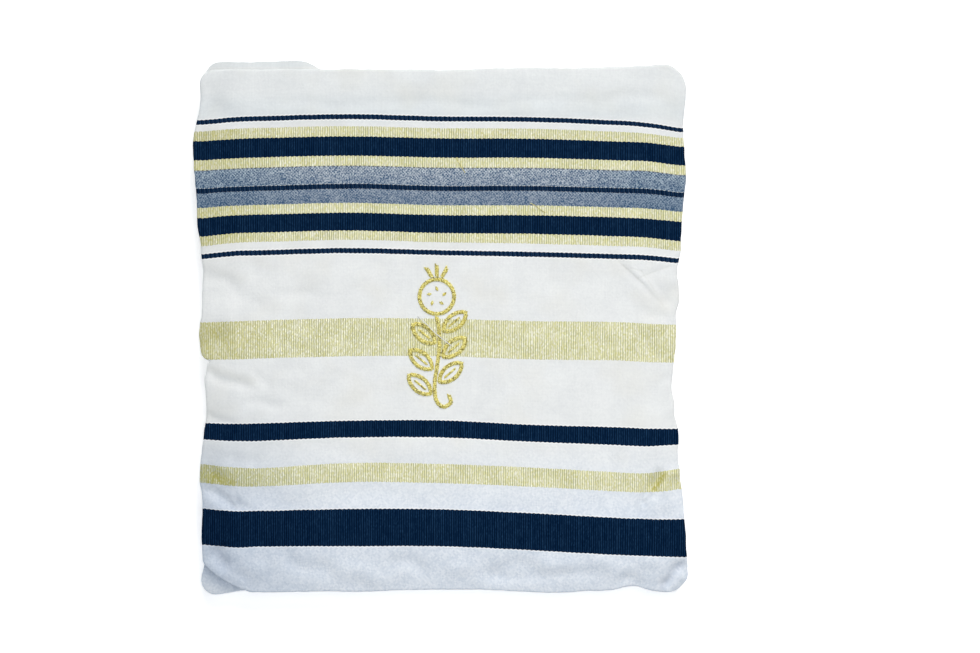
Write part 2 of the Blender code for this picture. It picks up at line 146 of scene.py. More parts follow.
SIDE_ROWS = tuple(SideRow(*row) for row in (
    (-152, -0.2, 3.6), (-141, 0.0, 4.5), (-129, 0.0, 3.4), (-116, -0.2, 2.4), (-106, -0.8, 1.2),
    (-98, -0.6, 0.9), (-88, 0.9, -0.4), (-80, 0.8, -1.2), (-71, 0.0, -2.4), (-63, -0.7, -1.6),
    (-57, -1.2, -2.2), (-50, -2.5, -4.2), (-42, -2.4, -4.4), (-34, -2.1, -5.8), (-27, -2.0, -5.0),
    (-20.5, -3.6, -4.6), (-17, -4.9, -4.2), (-14.5, -0.8, -3.9), (-11, 0.5, -3.4), (-5, 1.4, -2.8),
    (3, 1.2, -3.0), (8, 0.2, -3.3), (17, -0.5, -1.2), (26, -0.4, -1.9), (35, -1.0, -2.4),
    (45, 0.3, -0.2), (52, 0.6, -0.1), (62, 2.5, 0.5), (75, 2.9, 1.3), (87, 3.9, 2.6),
    (98, 4.6, 2.2), (110, 4.6, 1.6), (118, 3.6, 1.1), (126, 1.9, 2.0), (135, 0.7, 3.1),
    (143, 1.2, 3.3), (152, 0.8, 2.9),
))


@dataclass(frozen=True)
class EndRow:
    """How far the near and far ends stand outside the plain packet, at a place across it."""

    across: float
    near: float
    far: float


END_ROWS = tuple(EndRow(*row) for row in (
    (-140, 0.9, -1.0), (-118, 1.5, -0.8), (-90, 1.5, -0.6), (-50, 1.0, -0.9), (0, 0.0, -1.2),
    (20, -0.1, -0.6), (40, 1.1, 0.0), (62, 1.8, 0.1), (82, 1.0, 0.3), (96, 0.1, 0.5),
    (104, -1.8, 0.6), (111, -2.0, 0.8), (119, 0.6, 1.3), (129, 2.0, 2.2), (140, 1.4, 1.4),
))


@dataclass(frozen=True)
class Corner:
    """The rounding of one corner on the top pass and below it, and how full the top's curve is."""

    right: bool
    far: bool
    top: tuple[float, float]
    low: tuple[float, float]
    fullness: float = 2.0


CORNERS = (
    Corner(False, True, (5, 6), (6, 7)),
    Corner(True, True, (11, 12), (12, 12)),
    Corner(False, False, (27, 16), (6, 7), 1.25),
    Corner(True, False, (9, 9), (9, 9)),
)


@dataclass(frozen=True)
class Shoulder:
    """How the upper face rounds off towards one edge: how far down, over what width."""

    across: float
    along: float
    drop: float
    run: float


SHOULDERS = (
    Shoulder(-1, 0, 2.4, 30),
    Shoulder(1, 0, 2.2, 30),
    Shoulder(0, 1, 3.0, 42),
    Shoulder(0, -1, 5.6, 46),
)


@dataclass(frozen=True)
class Layout:
    """Where one pass lies, from the top down, and how far its near left corner slips out."""

    name: str
    share: float
    inset_side: float
    inset_end: float
    shift: float
    turn: float
    folds: Turn
    flare: tuple[float, float] = (0.0, 0.0)


LAYOUTS = (
    Layout("first_pass", 0.200, 0.0, 0.0, 0.0, 0.0, Turn.FAR),
    Layout("second_pass", 0.155, 1.3, 0.6, 0.5, 0.12, Turn.NEAR, (3.9, 2.9)),
    Layout("third_pass", 0.160, 1.7, 1.0, -0.6, -0.18, Turn.FAR),
    Layout("fourth_pass", 0.160, 1.1, 1.5, 0.7, 0.20, Turn.NEAR),
    Layout("fifth_pass", 0.160, 1.9, 1.1, -0.4, -0.10, Turn.FAR),
    Layout("sixth_pass", 0.165, 1.4, 1.3, 0.3, 0.08, Turn.NONE),
)
SLIPPED_PASS = 2


@dataclass(frozen=True)
class Crease:
    """A soft fold of the upper face: its ends, half width, height, sideways bow and skew."""

    start: tuple[float, float]
    end: tuple[float, float]
    width: float
    height: float
    bow: float = 0.0
    skew: float = 0.0


CREASES = tuple(Crease(*row) for row in (
    # the wavy trough along the far fold, and the swells beside it
    ((-104, 131.5), (-56, 129), 3.2, -0.80, -1.0),
    ((-66, 129.5), (-8, 134), 3.2, -0.75, 0.8),
    ((-20, 133.5), (26, 129), 3.0, -0.80),
    ((16, 129.5), (72, 135), 3.2, -0.80, 0.8),
    ((64, 134.5), (92, 131.5), 3.2, -0.85),
    ((86, 131.5), (134, 136), 3.8, -1.05, -1.2),
    ((-110, 144), (100, 146), 5.0, 0.40),
    ((-136, 143), (-124, 120), 6.0, -0.90, 2.0),
    ((-120, 129), (-30, 127), 4.0, 0.30),
    ((0, 127), (120, 129), 4.0, 0.30),
    # the sharp wrinkles at the right, beside the thin navy line
    ((98, 46), (107, 36), 1.9, -0.30),
    ((103, 40), (124, 18), 1.7, -0.55, 0.8),
    ((106, 42), (130, 17), 1.8, 0.50, 0.8),
    ((110, 37), (122, 27), 1.6, -0.40, -0.6),
    ((121, 28), (134, 13), 2.2, -0.45, -0.6),
    ((112, 33), (134, 42), 2.1, 0.35, 1.0),
    ((116, 31), (134, 38), 2.4, -0.35, 1.0),
    ((90, 33), (108, 14), 8.0, -0.40),
    ((122, 36), (138, 24), 6.0, 0.60),
    ((138, 25), (128, 14), 4.0, -0.55),
    ((112, 12), (134, 5), 3.0, -0.60),
    ((58, 38), (80, 20), 6.0, -0.30, 2.0),
    # soft folds of the upper white ground, at the left
    ((-140, 34), (-116, 26), 4.2, -0.80, 1.0, 0.3),
    ((-140, 12), (-116, 5), 9.0, 1.40),
    ((-122, 25), (-100, 11), 4.0, -0.50, 1.0),
    ((-101, 19.5), (-66, 18), 3.2, -0.55, -2.0),
    ((-112, 40), (-106, 30), 5.0, -0.45),
    ((-84, 33), (-44, 30), 5.0, 0.25, 1.5),
    ((-40, 40), (-20, 14), 7.0, -0.30),
    # the folds below the wide gold band, at the left
    ((-139, -24), (-108, -34.5), 3.2, -1.20, 0.8, 0.3),
    ((-139, -38), (-113, -43), 5.0, 0.30, 1.0),
    ((-110, -22), (-98, -35), 3.0, -0.55, 0.8),
    ((-117, -43), (-88, -45.5), 3.2, -0.70, -1.0),
    ((-140, -47.5), (-117, -56), 2.2, -0.90, 0.8, 0.3),
    ((-92, -24), (-74, -25), 3.5, -0.45),
    ((-96, -34), (-62, -42), 6.0, -0.35, 2.0),
    ((30, -22), (74, -48), 12.0, 0.30),
    # at the right edge of the same ground
    ((131, -24), (125, -50), 3.6, -0.60, 1.5),
    ((138, -28), (133, -52), 4.0, 0.75),
    # below the navy band
    ((-126, -73), (-104, -79), 5.5, -0.90, 1.0),
    ((-139, -66), (-120, -70), 4.0, 0.50),
    ((-92, -66), (-40, -72), 6.0, -0.45),
    ((-36, -66), (20, -74), 7.0, 0.45),
    ((60, -68), (110, -76), 7.0, -0.50),
    # the fold that crosses the narrow gold band, at the right
    ((130, -82), (121, -96), 2.9, -1.70, 0.8, 0.4),
    ((122, -95), (114, -101), 2.6, -1.20, 0.5),
    ((117, -99), (114, -111), 2.2, -1.20, 0.3),
    ((139, -80), (126, -97), 3.8, 1.30, 0.8),
    ((120, -107), (137, -98), 6.5, 1.20, -1.0),
    ((108, -86), (98, -101), 5.0, -0.45),
    # below the narrow gold band, at the left
    ((-141, -80), (-122, -86), 3.6, -1.00, 1.0),
    ((-140, -90.5), (-113, -105), 2.5, -1.35, 1.2, 0.3),
    ((-140, -97), (-125, -106), 4.2, 1.20),
    ((-122, -95), (-110, -106), 1.8, -0.60, 0.5),
    ((-114, -93), (-74, -104), 6.0, -0.70, 1.5),
    ((-74, -93), (-10, -100), 6.0, -0.50, -1.5),
    ((14, -94), (70, -101), 8.0, 0.45),
    # the mottled strip at the hem
    ((-131, -125), (-125, -142), 4.6, -1.80, 0.8),
    ((-118, -128), (-104, -146), 5.5, 1.00, 1.0),
    ((-96, -131), (-60, -143), 5.0, -1.20, 1.5),
    ((-64, -136), (-30, -147), 5.5, 1.10, 1.0),
    ((-34, -134), (-6, -141), 5.0, -1.10, -1.5),
    ((2, -136), (28, -146), 5.2, 1.10, 1.0),
    ((24, -141), (58, -136), 5.0, -1.10),
    ((52, -134), (82, -140), 5.2, 1.00, 1.0),
    ((0, -144), (100, -143), 4.0, -0.90),
    ((86, -134), (112, -142), 5.0, 0.90),
    # the corners of the hem
    ((104, -142), (120, -151), 4.0, -1.40, 1.0),
    ((112, -131), (130, -139), 5.0, 0.70),
    ((141, -135), (128, -152), 3.0, -2.10, -0.8, 0.4),
    ((141, -142), (133, -150), 3.4, 1.30, -0.8),
    ((144, -134), (142, -146), 2.6, -0.90),
    ((132, -133), (122, -148), 3.6, 0.40, -0.8),
    ((-139, -137), (-110, -155), 3.0, 0.70, -1.5),
))


@dataclass(frozen=True)
class Leaf:
    """One leaf of the sprig: its side, and where it leaves the stem."""

    node: str
    right: bool
    along: float


LEAVES = (
    Leaf("sprig_leaf_1", True, 3.5),
    Leaf("sprig_leaf_2", False, -3.5),
    Leaf("sprig_leaf_3", True, -11.5),
    Leaf("sprig_leaf_4", False, -18.5),
    Leaf("sprig_leaf_5", True, -26.0),
    Leaf("sprig_leaf_6", False, -33.0),
)
STEM_POINTS = (
    (0.0, 11.4),
    (1.2, 4.0),
    (1.5, -6.0),
    (0.2, -17.0),
    (-1.2, -27.0),
    (-0.4, -36.5),
    (3.6, -40.6),
    (7.9, -38.4),
    (7.2, -33.9),
)
SEPALS = {
    "sprig_sepal_middle": ((0.0, 34.9), (0.0, 41.4)),
    "sprig_sepal_left": ((-2.9, 34.6), (-6.0, 39.8)),
    "sprig_sepal_right": ((2.9, 34.6), (6.0, 39.8)),
}


def smooth_read(places: Places, values: Places, at: Places) -> Places:
    """Reads a short table at many places, on a smooth curve through its rows.

    Args:
        places: The rows' own places, rising.
        values: The value in each row.
        at: Where to read.

    Returns:
        The value at each place.
    """
    slopes = np.gradient(values, places)
    slopes[1:-1] = (values[2:] - values[:-2]) / (places[2:] - places[:-2])
    at = np.clip(at, places[0], places[-1])
    row = np.clip(np.searchsorted(places, at) - 1, 0, len(places) - 2)
    span = places[row + 1] - places[row]
    t = (at - places[row]) / span
    first = (2 * t**3 - 3 * t**2 + 1) * values[row] + (3 * t**2 - 2 * t**3) * values[row + 1]
    lean = (t**3 - 2 * t**2 + t) * slopes[row] + (t**3 - t**2) * slopes[row + 1]
    return first + lean * span


def crowded(share: Places) -> Places:
    """Moves even places from -1 to 1 closer together near both sides, where creases are fine."""
    return share + SIDE_CROWDING * np.sin(math.pi * share) / math.pi


def placed(name: str, data: bpy.types.ID) -> bpy.types.Object:
    """Puts an object with its data into the scene.

    Args:
        name: The object's name.
        data: Its mesh, curve, lamp or camera.

    Returns:
        The object.
    """
    made = bpy.data.objects.new(name, data)
    bpy.context.scene.collection.objects.link(made)
    return made


def thread_curve(name: str, radius: float, material: bpy.types.Material) -> bpy.types.Curve:
    """Starts a curve for round threads.

    Args:
        name: The curve's name.
        radius: The threads' radius in mm.
        material: What they are made of.

    Returns:
        The curve, with no thread in it yet.
    """
    line = bpy.data.curves.new(name, "CURVE")
    line.dimensions = "3D"
    line.bevel_depth = radius * MM
    line.bevel_resolution = 1
    line.use_fill_caps = True
    line.materials.append(material)
    return line


def draw_thread(line: bpy.types.Curve, places: Places, radii: list[float]) -> None:
    """Adds one thread to a curve.

    Args:
        line: The curve.
        places: The points that the thread runs through, in metres.
        radii: A factor on the curve's radius at each point.
    """
    spline = line.splines.new("POLY")
    spline.points.add(len(places) - 1)
    for point, place, radius in zip(spline.points, places, radii):
        point.co = (*place, 1)
        point.radius = radius


def ease(low: float, high: float, value: Places) -> Places:
    """An even ease from 0 at low to 1 at high."""
    t = np.clip((value - low) / (high - low), 0, 1)
    return t * t * (3 - 2 * t)


def corner_pull(out_x: Places, out_y: Places, fullness: float) -> Places:
    """How far places in a round corner are drawn in towards its middle.

    Args:
        out_x: How far out they lie across, from 0 to 1.
        out_y: How far out they lie along, from 0 to 1.
        fullness: 2 for a round quarter, 1 for a straight cut.

    Returns:
        The factor for each place, 1 for none.
    """
    distance = np.maximum(np.hypot(out_x, out_y), 1e-9)
    power = ((out_x / distance) ** fullness + (out_y / distance) ** fullness) ** (1 / fullness)
    return 1 + (1 / np.maximum(power, 1e-9) - 1) * distance**2


def cloth_noise(x: Places, y: Places, size: float, seed: float) -> Places:
    """Smooth noise over the plan, between about -1 and 1.

    Args:
        x: Places across.
        y: Places along.
        size: The size of one swell.
        seed: Which pattern to take.

    Returns:
        The noise at each place.
    """
    pairs = zip(np.ravel(x) / size, np.ravel(y) / size)
    values = [noise.noise(Vector((float(p), float(q), seed))) for p, q in pairs]
    return np.array(values).reshape(np.shape(x))


@dataclass
class PacketForm:
    """The folded packet's plan, its heights and the cloth coordinates on it, in mm."""

    cloth_width: float = 22 * INCH
    cloth_length: float = 72 * INCH
    height: float = 20.0
    nose: float = 2.0
    hem_along: float = -152.7
    far_fold_along: float = 151.6
    slipped_reach: float = 6.0
    slipped_to: float = -68.0
    slipped_ease: float = 15.0
    edge_wobble: float = 0.35
    edge_fray: float = 0.28
    wobble_swell: float = 13.0
    fray_swell: float = 4.4
    shift: Vector = field(default_factory=lambda: Vector((0, 0)))

    @property
    def pass_length(self) -> float:
        """The length of one pass of cloth."""
        return self.cloth_length / len(LAYOUTS)

    @property
    def half_width(self) -> float:
        """Half of the flat width, inside the rolled edges."""
        return self.cloth_width / 4 - self.nose

    @property
    def half_length(self) -> float:
        """Half of the flat length, inside the rolled edges."""
        return self.pass_length / 2 - self.nose

    def plan(self, a: Places, b: Places, index: int) -> tuple[Places, Places]:
        """The plan of one pass.

        Args:
            a: Places from -1 to 1 across.
            b: Places from -1 to 1 along.
            index: The pass, counted from the top.

        Returns:
            The places across and along, in mm.
        """
        layout = LAYOUTS[index]
        x, y = a * self.half_width, b * self.half_length
        flat_x, flat_y = x.copy(), y.copy()
        for corner in CORNERS:
            round_x, round_y = corner.top if index == 0 else corner.low
            p = (np.abs(flat_x) - (self.half_width - round_x)) / round_x
            q = (np.abs(flat_y) - (self.half_length - round_y)) / round_y
            here = (p > 0) & (q > 0) & ((a > 0) == corner.right) & ((b > 0) == corner.far)
            p, q = np.clip(p, 0, 1), np.clip(q, 0, 1)
            out_x, out_y = p * np.sqrt(1 - q * q / 2), q * np.sqrt(1 - p * p / 2)
            pull = corner_pull(out_x, out_y, corner.fullness if index == 0 else 2.0)
            bent_x = self.half_width - round_x + round_x * out_x * pull
            bent_y = self.half_length - round_y + round_y * out_y * pull
            x = np.where(here, np.sign(flat_x) * bent_x, x)
            y = np.where(here, np.sign(flat_y) * bent_y, y)
        side_places = np.array([row.along for row in SIDE_ROWS], float)
        end_places = np.array([row.across for row in END_ROWS], float)
        wobble = self.edge_wobble * cloth_noise(x, y, self.wobble_swell, 3.7 + index)
        wobble = wobble + self.edge_fray * cloth_noise(x, y, self.fray_swell, 7.1 + index)
        left = smooth_read(side_places, np.array([row.left for row in SIDE_ROWS]), y)
        right = smooth_read(side_places, np.array([row.right for row in SIDE_ROWS]), y)
        near = smooth_read(end_places, np.array([row.near for row in END_ROWS]), x)
        far = smooth_read(end_places, np.array([row.far for row in END_ROWS]), x)
        left, right = left - layout.inset_side + wobble, right - layout.inset_side + wobble
        near, far = near - layout.inset_end + wobble, far - layout.inset_end + wobble
        if index == SLIPPED_PASS:
            left_out = ease(self.slipped_to - self.slipped_ease, self.slipped_to, x)
            far = far + self.slipped_reach * (1 - left_out)
        cornered = ease(0.84, 0.97, -a) * ease(0.86, 0.97, -b)
        x, y = x - layout.flare[0] * cornered, y - layout.flare[1] * cornered
        share_x, share_y = (a + 1) / 2, (b + 1) / 2
        new_x = x + right * share_x - left * (1 - share_x) + layout.shift
        new_y = y + far * share_y - near * (1 - share_y)
        turn = math.radians(layout.turn)
        return new_x - new_y * turn, new_y + new_x * turn

    def dome(self, x: Places, y: Places) -> Places:
        """The height of the upper face without its creases.

        Args:
            x: Places across.
            y: Places along.

        Returns:
            The heights, in mm.
        """
        height = np.full(np.shape(x), self.height)
        for shoulder in SHOULDERS:
            edge = self.cloth_width / 4 if shoulder.across else self.pass_length / 2
            distance = edge - (x * shoulder.across + y * shoulder.along)
            t = np.clip(distance / shoulder.run, 0, 1)
            height = height - shoulder.drop * (1 - t) ** 2
        return height

    def folds(self, x: Places, y: Places) -> Places:
        """The height that the creases and the cockled ground add to the upper face.

        Args:
            x: Places across.
            y: Places along.

        Returns:
            The added heights, in mm.
        """
        added = np.zeros(np.shape(x))
        for crease in CREASES:
            start, end = np.array(crease.start), np.array(crease.end)
            run = end - start
            length = float(np.hypot(*run))
            t = ((x - start[0]) * run[0] + (y - start[1]) * run[1]) / length**2
            d = ((x - start[0]) * run[1] - (y - start[1]) * run[0]) / length
            d = (d - crease.bow * 4 * t * (1 - t)) / crease.width
            d = d + 0.25 * np.sin(t * 9 + crease.height * 20)
            fade = ease(-0.08, 0.28, t) * ease(1.08, 0.72, t)
            added = added + crease.height * fade * np.exp(-d * d) * (1 + crease.skew * np.tanh(d))
        cockled = 0.35 + 0.75 * ease(-20, -140, y) + 0.35 * ease(-60, -135, x)
        added = added + 0.34 * cockled * cloth_noise(x, y, 26, 1.3)
        added = added + 0.11 * cockled * cloth_noise(x, y * 1.7, 9, 5.1)
        return added + 0.03 * cloth_noise(x, y, 4.2, 8.9)

    def level_under(self, index: int) -> float:
        """The share of the height that lies below a pass."""
        return 1 - sum(layout.share for layout in LAYOUTS[: index + 1])

    def joining(self, index: int, b: Places) -> Places:
        """From 0, where a pass lies free of the next, to 1, where it turns over into it.

        Args:
            index: The pass, counted from the top.
            b: Places from -1 to 1 along.

        Returns:
            The shares.
        """
        folds = LAYOUTS[index].folds
        if folds is Turn.NONE or index < 0:
            return np.zeros(np.shape(b))
        return ease(0.925, 0.99, b if folds is Turn.FAR else -b)

    def cloth_place(self, x: Places, y: Places, index: int) -> tuple[Places, Places]:
        """Where a point of a pass lies on the woven cloth.

        Args:
            x: Places across the packet.
            y: Places along the packet.
            index: The pass, counted from the top.

        Returns:
            Places across the cloth from its middle, and along it from its hem, in mm.
        """
        stations = np.array(BOW_STATIONS)
        rows = np.array([smooth_read(stations, np.array(row.drops), x) for row in BOW_ROWS])
        places = np.array([row.along for row in BOW_ROWS])
        at = np.clip(y, places[0], places[-1])
        row = np.clip(np.searchsorted(places, at) - 1, 0, len(places) - 2)
        t = (at - places[row]) / (places[row + 1] - places[row])
        picks = np.arange(x.size)
        bow = rows[row, picks] * (1 - t) + rows[row + 1, picks] * t
        if index % 2:
            along = index * self.pass_length + self.far_fold_along - y - bow * (index == 5)
        else:
            along = index * self.pass_length + y - self.hem_along + bow * (index == 0)
        return x, along


class Rim:
    """The edge line of one pass: its stations, its plan and its outward directions."""

    def __init__(self, form: PacketForm, index: int, across: int, along: int) -> None:
        """Works out the stations, anticlockwise from the near left corner.

        Args:
            form: The packet.
            index: The pass, counted from the top.
            across: How many steps the grid has across.
            along: How many steps it has along.
        """
        self.form, self.index = form, index
        row, column = crowded(np.linspace(-1, 1, across + 1)), np.linspace(-1, 1, along + 1)
        self.a = np.concatenate([row[:-1], np.ones(along), row[:0:-1], -np.ones(along)])
        self.b = np.concatenate([-np.ones(across), column[:-1], np.ones(across), column[:0:-1]])
        self.spots = [(j, 0) for j in range(across)] + [(across, j) for j in range(along)]
        self.spots += [(across - j, along) for j in range(across)] + [(0, along - j) for j in range(along)]
        self.x, self.y = form.plan(self.a, self.b, index)
        out_x = np.roll(self.y, -1) - np.roll(self.y, 1)
        out_y = np.roll(self.x, 1) - np.roll(self.x, -1)
        length = np.hypot(out_x, out_y)
        self.out_x, self.out_y = out_x / length, out_y / length

    def __len__(self) -> int:
        """The number of stations."""
        return len(self.a)

    def inset(self, distance: float) -> tuple[Places, Places]:
        """The plan of the line that lies inside the rim by a distance.

        Args:
            distance: How far inside, in mm.

        Returns:
            The places across and along.
        """
        a = self.a * (1 - distance / self.form.half_width)
        b = self.b * (1 - distance / self.form.half_length)
        return self.form.plan(a, b, self.index)


@dataclass
class Ring:
    """One line of points round a pass, with its cloth coordinates, in mm."""

    x: Places
    y: Places
    z: Places
    u: Places
    v: Places


class ClothShell:
    """A cloth surface that grows ring by ring and carries its cloth coordinates."""

    def __init__(self, form: PacketForm, name: str) -> None:
        """Starts an empty shell.

        Args:
            form: The packet that the shell lies in.
            name: The finished piece's name.
        """
        self.form, self.name = form, name
        self.shape = bmesh.new()
        self.station = self.shape.verts.layers.int.new("station")
        self.across = self.shape.verts.layers.float.new("across")
        self.along = self.shape.verts.layers.float.new("along")

    def _put(self, point: bmesh.types.BMVert, ring: Ring, k: int) -> None:
        """Moves one point to its place in a ring.

        Args:
            point: The point.
            ring: The ring that it belongs to.
            k: Its place in the ring.
        """
        point.co = (
            (ring.x[k] + self.form.shift.x) * MM,
            (ring.y[k] + self.form.shift.y) * MM,
            ring.z[k] * MM,
        )
        point[self.across], point[self.along] = ring.u[k] * MM, ring.v[k] * MM

    def face(self, across: int, along: int, place: Callable[[Places, Places], Ring], rim: Rim) -> list:
        """Lays the whole face that shows, as a grid.

        Args:
            across: How many steps the grid has across.
            along: How many steps it has along.
            place: Gives the points for places from -1 to 1 across and along.
            rim: The edge line, which numbers the grid's outer points.

        Returns:
            The edges round the face.
        """
        made = bmesh.ops.create_grid(self.shape, x_segments=across, y_segments=along, size=1.0)
        points = made["verts"]
        a = np.array([point.co.x for point in points])
        b = np.array([point.co.y for point in points])
        column, row = np.rint((a + 1) / 2 * across), np.rint((b + 1) / 2 * along)
        numbers = {spot: k for k, spot in enumerate(rim.spots)}
        ring = place(crowded(a), b)
        for k, point in enumerate(points):
            point[self.station] = numbers.get((column[k], row[k]), -1)
            self._put(point, ring, k)
        return [edge for edge in self.shape.edges if edge.is_boundary]

    def loop(self, ring: Ring) -> list:
        """Lays a first open ring.

        Args:
            ring: The ring.

        Returns:
            Its edges.
        """
        made = bmesh.ops.create_circle(self.shape, cap_ends=False, radius=1.0, segments=len(ring.x))
        for k, point in enumerate(made["verts"]):
            point[self.station] = k
            self._put(point, ring, k)
        return list(self.shape.edges)

    def grow(self, edges: list, ring: Ring) -> list:
        """Extrudes the open edges to the next ring.

        Args:
            edges: The open edges.
            ring: Where they go.

        Returns:
            The new open edges.
        """
        made = bmesh.ops.extrude_edge_only(self.shape, edges=edges)["geom"]
        points = {item for item in made if isinstance(item, bmesh.types.BMVert)}
        for item in made:
            if item in points:
                self._put(item, ring, item[self.station])
        return [
            item for item in made if isinstance(item, bmesh.types.BMEdge) and set(item.verts) <= points
        ]

    def finish(self, thickness: float, material: bpy.types.Material) -> bpy.types.Object:
        """Turns the shell into a piece with a wall.

        Args:
            thickness: The wall, in mm, which grows inwards.
            material: The cloth's finish.

        Returns:
            The piece.
        """
        cloth_map = self.shape.loops.layers.uv.new(CLOTH_MAP)
        for face in self.shape.faces:
            for corner in face.loops:
                corner[cloth_map].uv = (corner.vert[self.across], corner.vert[self.along])
        bmesh.ops.recalc_face_normals(self.shape, faces=self.shape.faces)
        mesh = bpy.data.meshes.new(self.name)
        self.shape.to_mesh(mesh)
        self.shape.free()
        mesh.shade_smooth()
        mesh.materials.append(material)
        piece = placed(self.name, mesh)
        wall = piece.modifiers.new("wall", "SOLIDIFY")
        wall.thickness = thickness * MM
        wall.offset = -1
        return piece


@dataclass
class ClothPass:
    """One pass of the folded cloth, as a thin shell."""

    form: PacketForm
    index: int
    face: Face = Face.NONE
    across: int = 90
    along: int = 98
    thickness: float = 0.55
    lap: float = 0.12
    turned_under: float = 9.0
    tucked: float = 9.0
    tuck_spread: float = 18.0
    tuck_blend: float = 9.0
    under_share: float = 0.7
    slack_share: float = 0.22
    slack_swell: float = 31.0
    inner_insets: tuple[float, ...] = (7.0, 22.0)
    nose_angles: tuple[float, ...] = (68, 46, 26, 10, -10, -26, -46, -68)
    hem_groove: float = 1.3
    groove_spread: float = 14.0
    lower_ply: float = 0.6
    slip_groove: float = 0.7

    @property
    def layout(self) -> Layout:
        """This pass's row in the table."""
        return LAYOUTS[self.index]

    def heights(self, x: Places, y: Places, b: Places) -> tuple[Places, Places]:
        """The heights of the pass's upper and lower faces.

        Args:
            x: Places across.
            y: Places along.
            b: The same places from -1 to 1 along.

        Returns:
            The upper and the lower heights, in mm.
        """
        form, index = self.form, self.index
        full = form.dome(x, y)
        if index == 0:
            top = full + form.folds(x, y)
        else:
            top = full * form.level_under(index - 1) - self.lap
        low = full * form.level_under(index)
        if self.layout.folds is not Turn.NONE:
            joined = form.joining(index, b)
            low = low * (1 - joined) + full * form.level_under(index + 1) * joined
        if index == len(LAYOUTS) - 1:
            return top, np.zeros(np.shape(x))
        return top, low + self.lap

    def tuck(self, rim: Rim) -> Places:
        """How far the pass is drawn in where the pass above folds over it, less at round corners."""
        cornered = 1 - 1.2 * np.abs(rim.out_x * rim.out_y)
        return self.tucked * self.form.joining(self.index - 1, rim.b) * cornered

    def hemmed(self, rim: Rim) -> Places:
        """Where the pass ends in its two open plies, from 0 to 1 along the rim."""
        if self.index not in (0, len(LAYOUTS) - 1):
            return np.zeros(len(rim))
        return ease(0.5, 0.95, -rim.out_y)

    def slack(self, rim: Rim) -> Places:
        """How much fuller or flatter the rolled edge is along the rim, around 1."""
        return 1 + self.slack_share * cloth_noise(rim.x, rim.y, self.slack_swell, 11.0 + self.index)

    def rolled(self, rim: Rim, angle: float) -> Ring:
        """A line on the rolled edge.

        Args:
            rim: The edge line.
            angle: From 90 degrees on the upper face to -90 on the lower one.

        Returns:
            The ring.
        """
        top, low = self.heights(rim.x, rim.y, rim.b)
        turn = math.radians(angle)
        reach = self.form.nose * math.cos(turn) * self.slack(rim) - self.tuck(rim)
        inward = self.hem_groove * math.exp(-(angle / self.groove_spread) ** 2) + self.lower_ply * (angle < 0)
        reach = reach - inward * self.hemmed(rim)
        arc = (math.pi / 2 - turn) * (self.form.nose + (top - low) / 2) / 2
        x, y = rim.x + rim.out_x * reach, rim.y + rim.out_y * reach
        z = (top + low) / 2 + math.sin(turn) * (top - low) / 2
        if self.index == SLIPPED_PASS and angle == self.nose_angles[1]:
            z = z - self.slip_groove * ease(0.5, 0.95, rim.out_y)
        u, v = self.form.cloth_place(rim.x, rim.y, self.index)
        way = -1 if self.index % 2 else 1
        return Ring(x, y, z, u + rim.out_x * arc, v + way * rim.out_y * arc)

    def inner(self, rim: Rim, distance: float, upper: bool) -> Ring:
        """A line on the upper or lower face, inside the rim.

        Args:
            rim: The edge line.
            distance: How far inside.
            upper: Whether it lies on the upper face.

        Returns:
            The ring.
        """
        x, y = rim.inset(distance)
        x, y = x - rim.out_x * self.tuck(rim), y - rim.out_y * self.tuck(rim)
        top, low = self.heights(x, y, rim.b)
        u, v = self.form.cloth_place(x, y, self.index)
        if upper:
            return Ring(x, y, top, u, v)
        beyond = 2 * distance + self.form.nose
        way = -1 if self.index % 2 else 1
        return Ring(x, y, low, u + rim.out_x * beyond, v + way * rim.out_y * beyond)

    def face_ring(self, a: Places, b: Places, rim: Rim) -> Ring:
        """The points of the face that shows whole, drawn in where its rim is tucked.

        Args:
            a: Places from -1 to 1 across.
            b: Places from -1 to 1 along.
            rim: The edge line.

        Returns:
            The points.
        """
        x, y = self.form.plan(a, b, self.index)
        u, v = self.form.cloth_place(x, y, self.index)
        if self.face is Face.UNDER:
            apart = (x[:, None] - rim.x) ** 2 + (y[:, None] - rim.y) ** 2
            closest = apart.min(axis=1)
            pull = np.exp((closest[:, None] - apart) / self.tuck_blend**2)
            pull = pull * self.tuck(rim) / pull.sum(axis=1, keepdims=True)
            fade = np.exp(-closest / self.tuck_spread**2)
            x, y = x - pull @ rim.out_x * fade, y - pull @ rim.out_y * fade
        top, low = self.heights(x, y, b)
        return Ring(x, y, top if self.face is Face.UPPER else low, u, v)

    def build(self, material: bpy.types.Material) -> bpy.types.Object:
        """Makes the pass.

        Args:
            material: The cloth's finish.

        Returns:
            The piece.
        """
        rim = Rim(self.form, self.index, self.across, self.along)
        shell = ClothShell(self.form, self.layout.name)
        angles = self.nose_angles
        if self.face is Face.UNDER:
            angles = angles[::-1]
        if self.face is Face.NONE:
            edges = shell.loop(self.inner(rim, self.inner_insets[-1], True))
            for distance in self.inner_insets[-2::-1]:
                edges = shell.grow(edges, self.inner(rim, distance, True))
        else:
            edges = shell.face(self.across, self.along, lambda a, b: self.face_ring(a, b, rim), rim)
        for angle in angles:
            edges = shell.grow(edges, self.rolled(rim, angle))
        if self.face is Face.NONE:
            for distance in self.inner_insets:
                edges = shell.grow(edges, self.inner(rim, distance, False))
        else:
            edges = shell.grow(edges, self.rolled(rim, -90 if self.face is Face.UPPER else 90))
            reach = self.turned_under * (self.under_share if self.face is Face.UNDER else 1.0)
            shell.grow(edges, self.inner(rim, reach, self.face is Face.UNDER))
        return shell.finish(self.thickness, material)


